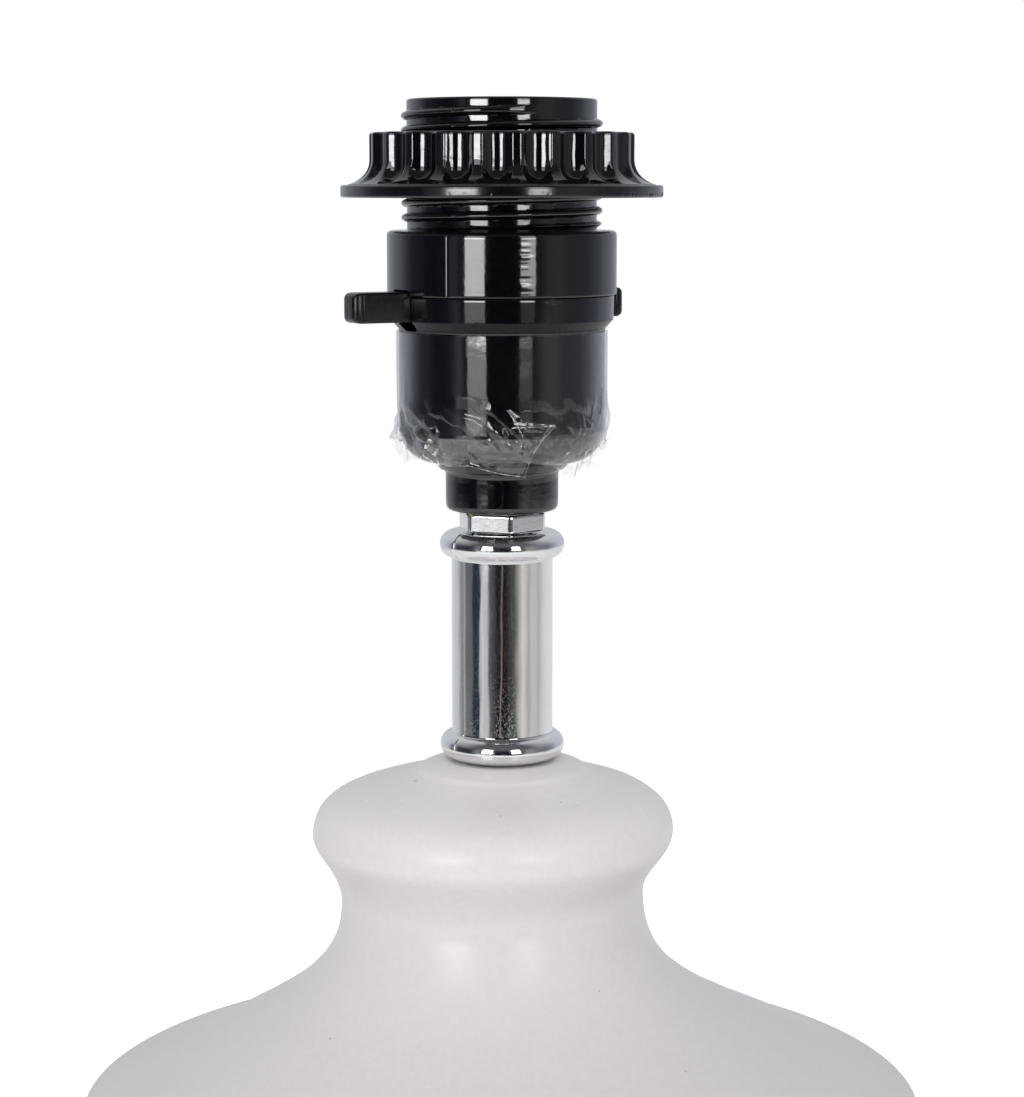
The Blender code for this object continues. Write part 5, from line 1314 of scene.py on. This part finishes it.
# Nearer to the table the flags end and white cards begin
TABLE = (
    (-180, 73, 75, 78), (-160, 72, 74, 77), (-146, 60, 61, 64), (-120, 54, 55, 57),
    (-108, 26, 26, 27), (-97, 34, 34, 36), (-84, 15, 15, 16), (-74, 12, 12, 14),
    (-68, 2, 3, 4.5), (-53.5, 2, 3, 4.5), (-51, 42, 42, 44), (-47, 66, 66, 66),
    (-42, 50, 50, 50), (-35, 54, 54, 55), (-28, 9, 9, 10), (-11, 1, 1, 1.5), (8, 1, 1, 1.5),
    (30, 8, 8, 8), (38, 42, 40, 38), (48, 70, 66, 62), (56, 58, 55, 53), (63, 40, 40, 40),
    (70, 55, 55, 55), (84, 54, 54, 54), (91, 45, 45, 46), (108, 66, 67, 69),
    (134, 73, 74, 77), (180, 73, 75, 78))
# A warm upright edge in front, which leans a little
WARM_EDGE = ((-4.3, 0, 0, 0), (-2.4, 40, 25, 18), (-0.5, 0, 0, 0))
CEILING = ((-180, 62, 63, 65), (-120, 50, 51, 53), (-60, 10, 10, 11), (60, 10, 10, 11),
           (120, 50, 51, 53), (180, 62, 63, 65))


def make_world():
    """Reflections see the studio, the camera sees white, and all else gets an even light."""
    world = bpy.context.scene.world or bpy.data.worlds.new("studio")
    bpy.context.scene.world = world
    world.use_nodes = True
    made = Nodes(world.node_tree)
    made.tree.nodes.clear()
    place = made.node("ShaderNodeTexCoord", {}).outputs["Generated"]
    turned = made.node("ShaderNodeMapping", {"Rotation": (0, 0, -VIEW_ANGLE), "Vector": place})
    parts = made.node("ShaderNodeSeparateXYZ", {"Vector": turned.outputs["Vector"]}).outputs
    angle = made.math("ARCTAN2", parts["Y"], parts["X"])
    share = made.math("ADD", made.math("DIVIDE", angle, TURN), 0.5)
    level = parts["Z"]

    def studio(factor, table):
        return made.ramp(factor, *(((degrees + 180) / 360, tuple(part / 100 for part in colour))
                                   for degrees, *colour in table))

    def over(low, high):
        inputs = {"From Min": low, "From Max": high, "Value": level}
        made_range = made.node("ShaderNodeMapRange", inputs, interpolation_type="SMOOTHSTEP")
        return made_range.outputs["Result"]

    def background(colour, strength):
        inputs = {"Color": colour, "Strength": strength}
        return made.node("ShaderNodeBackground", inputs).outputs["Background"]

    lean = made.math("MULTIPLY", made.math("ADD", level, 0.178), 0.22)
    edge = studio(made.math("SUBTRACT", share, lean), WARM_EDGE)
    table = made.mix(1.0, studio(share, TABLE), edge, "ADD")
    around = made.mix(over(-0.1275, -0.1235), table, studio(share, WALLS))
    overhead = made.mix(over(0.20, 0.65), around, studio(share, CEILING))
    path = made.node("ShaderNodeLightPath", {}).outputs
    glossy = made.shader_mix(path["Is Glossy Ray"], background((0.97, 0.985, 1.0), 0.86),
                             background(overhead, 1.0))
    final = made.shader_mix(path["Is Camera Ray"], glossy, background((1, 1, 1), 1.0))
    made.node("ShaderNodeOutputWorld", {"Surface": final})


def make_camera():
    data = bpy.data.cameras.new("camera")
    data.sensor_fit = "AUTO"
    data.sensor_width = 36.0
    data.lens = 85.65
    data.clip_start = 0.02
    data.clip_end = 20.0
    camera = add_object("camera", data)
    camera.location = (-0.22035, -0.38166, 0.3302)
    camera.rotation_euler = (math.radians(82), 0, math.radians(-30.22))
    bpy.context.scene.camera = camera


for make in (make_ceramic, make_pad, make_grommet, make_pipe, make_neck, make_neck_washer,
             make_nut, make_cap, make_shell, make_ring, make_screw_shell, make_bar, make_film,
             make_floor, make_world, make_camera):
    make()

# Two softboxes in bands: from, to, then the left and right one's strength
BANDS = ((0.165, 0.245, 1.15, 0.25), (0.245, 0.325, 5.5, 3.5), (0.325, 0.368, 10.5, 9.0),
         (0.368, 0.395, 12.0, 7.0), (0.395, 1.0, 2.4, 2.4))
for index, (low, high, left, right) in enumerate(BANDS):
    softbox("softbox_left_%d" % index, -27.5, 0.44, low, high, left)
    softbox("softbox_right_%d" % index, 26.0, 0.30, low, high, right)
softbox("nut_card", -36.0, 0.30, 0.098, 0.127, 0.9)
bpy.context.scene.view_settings.view_transform = "Standard"
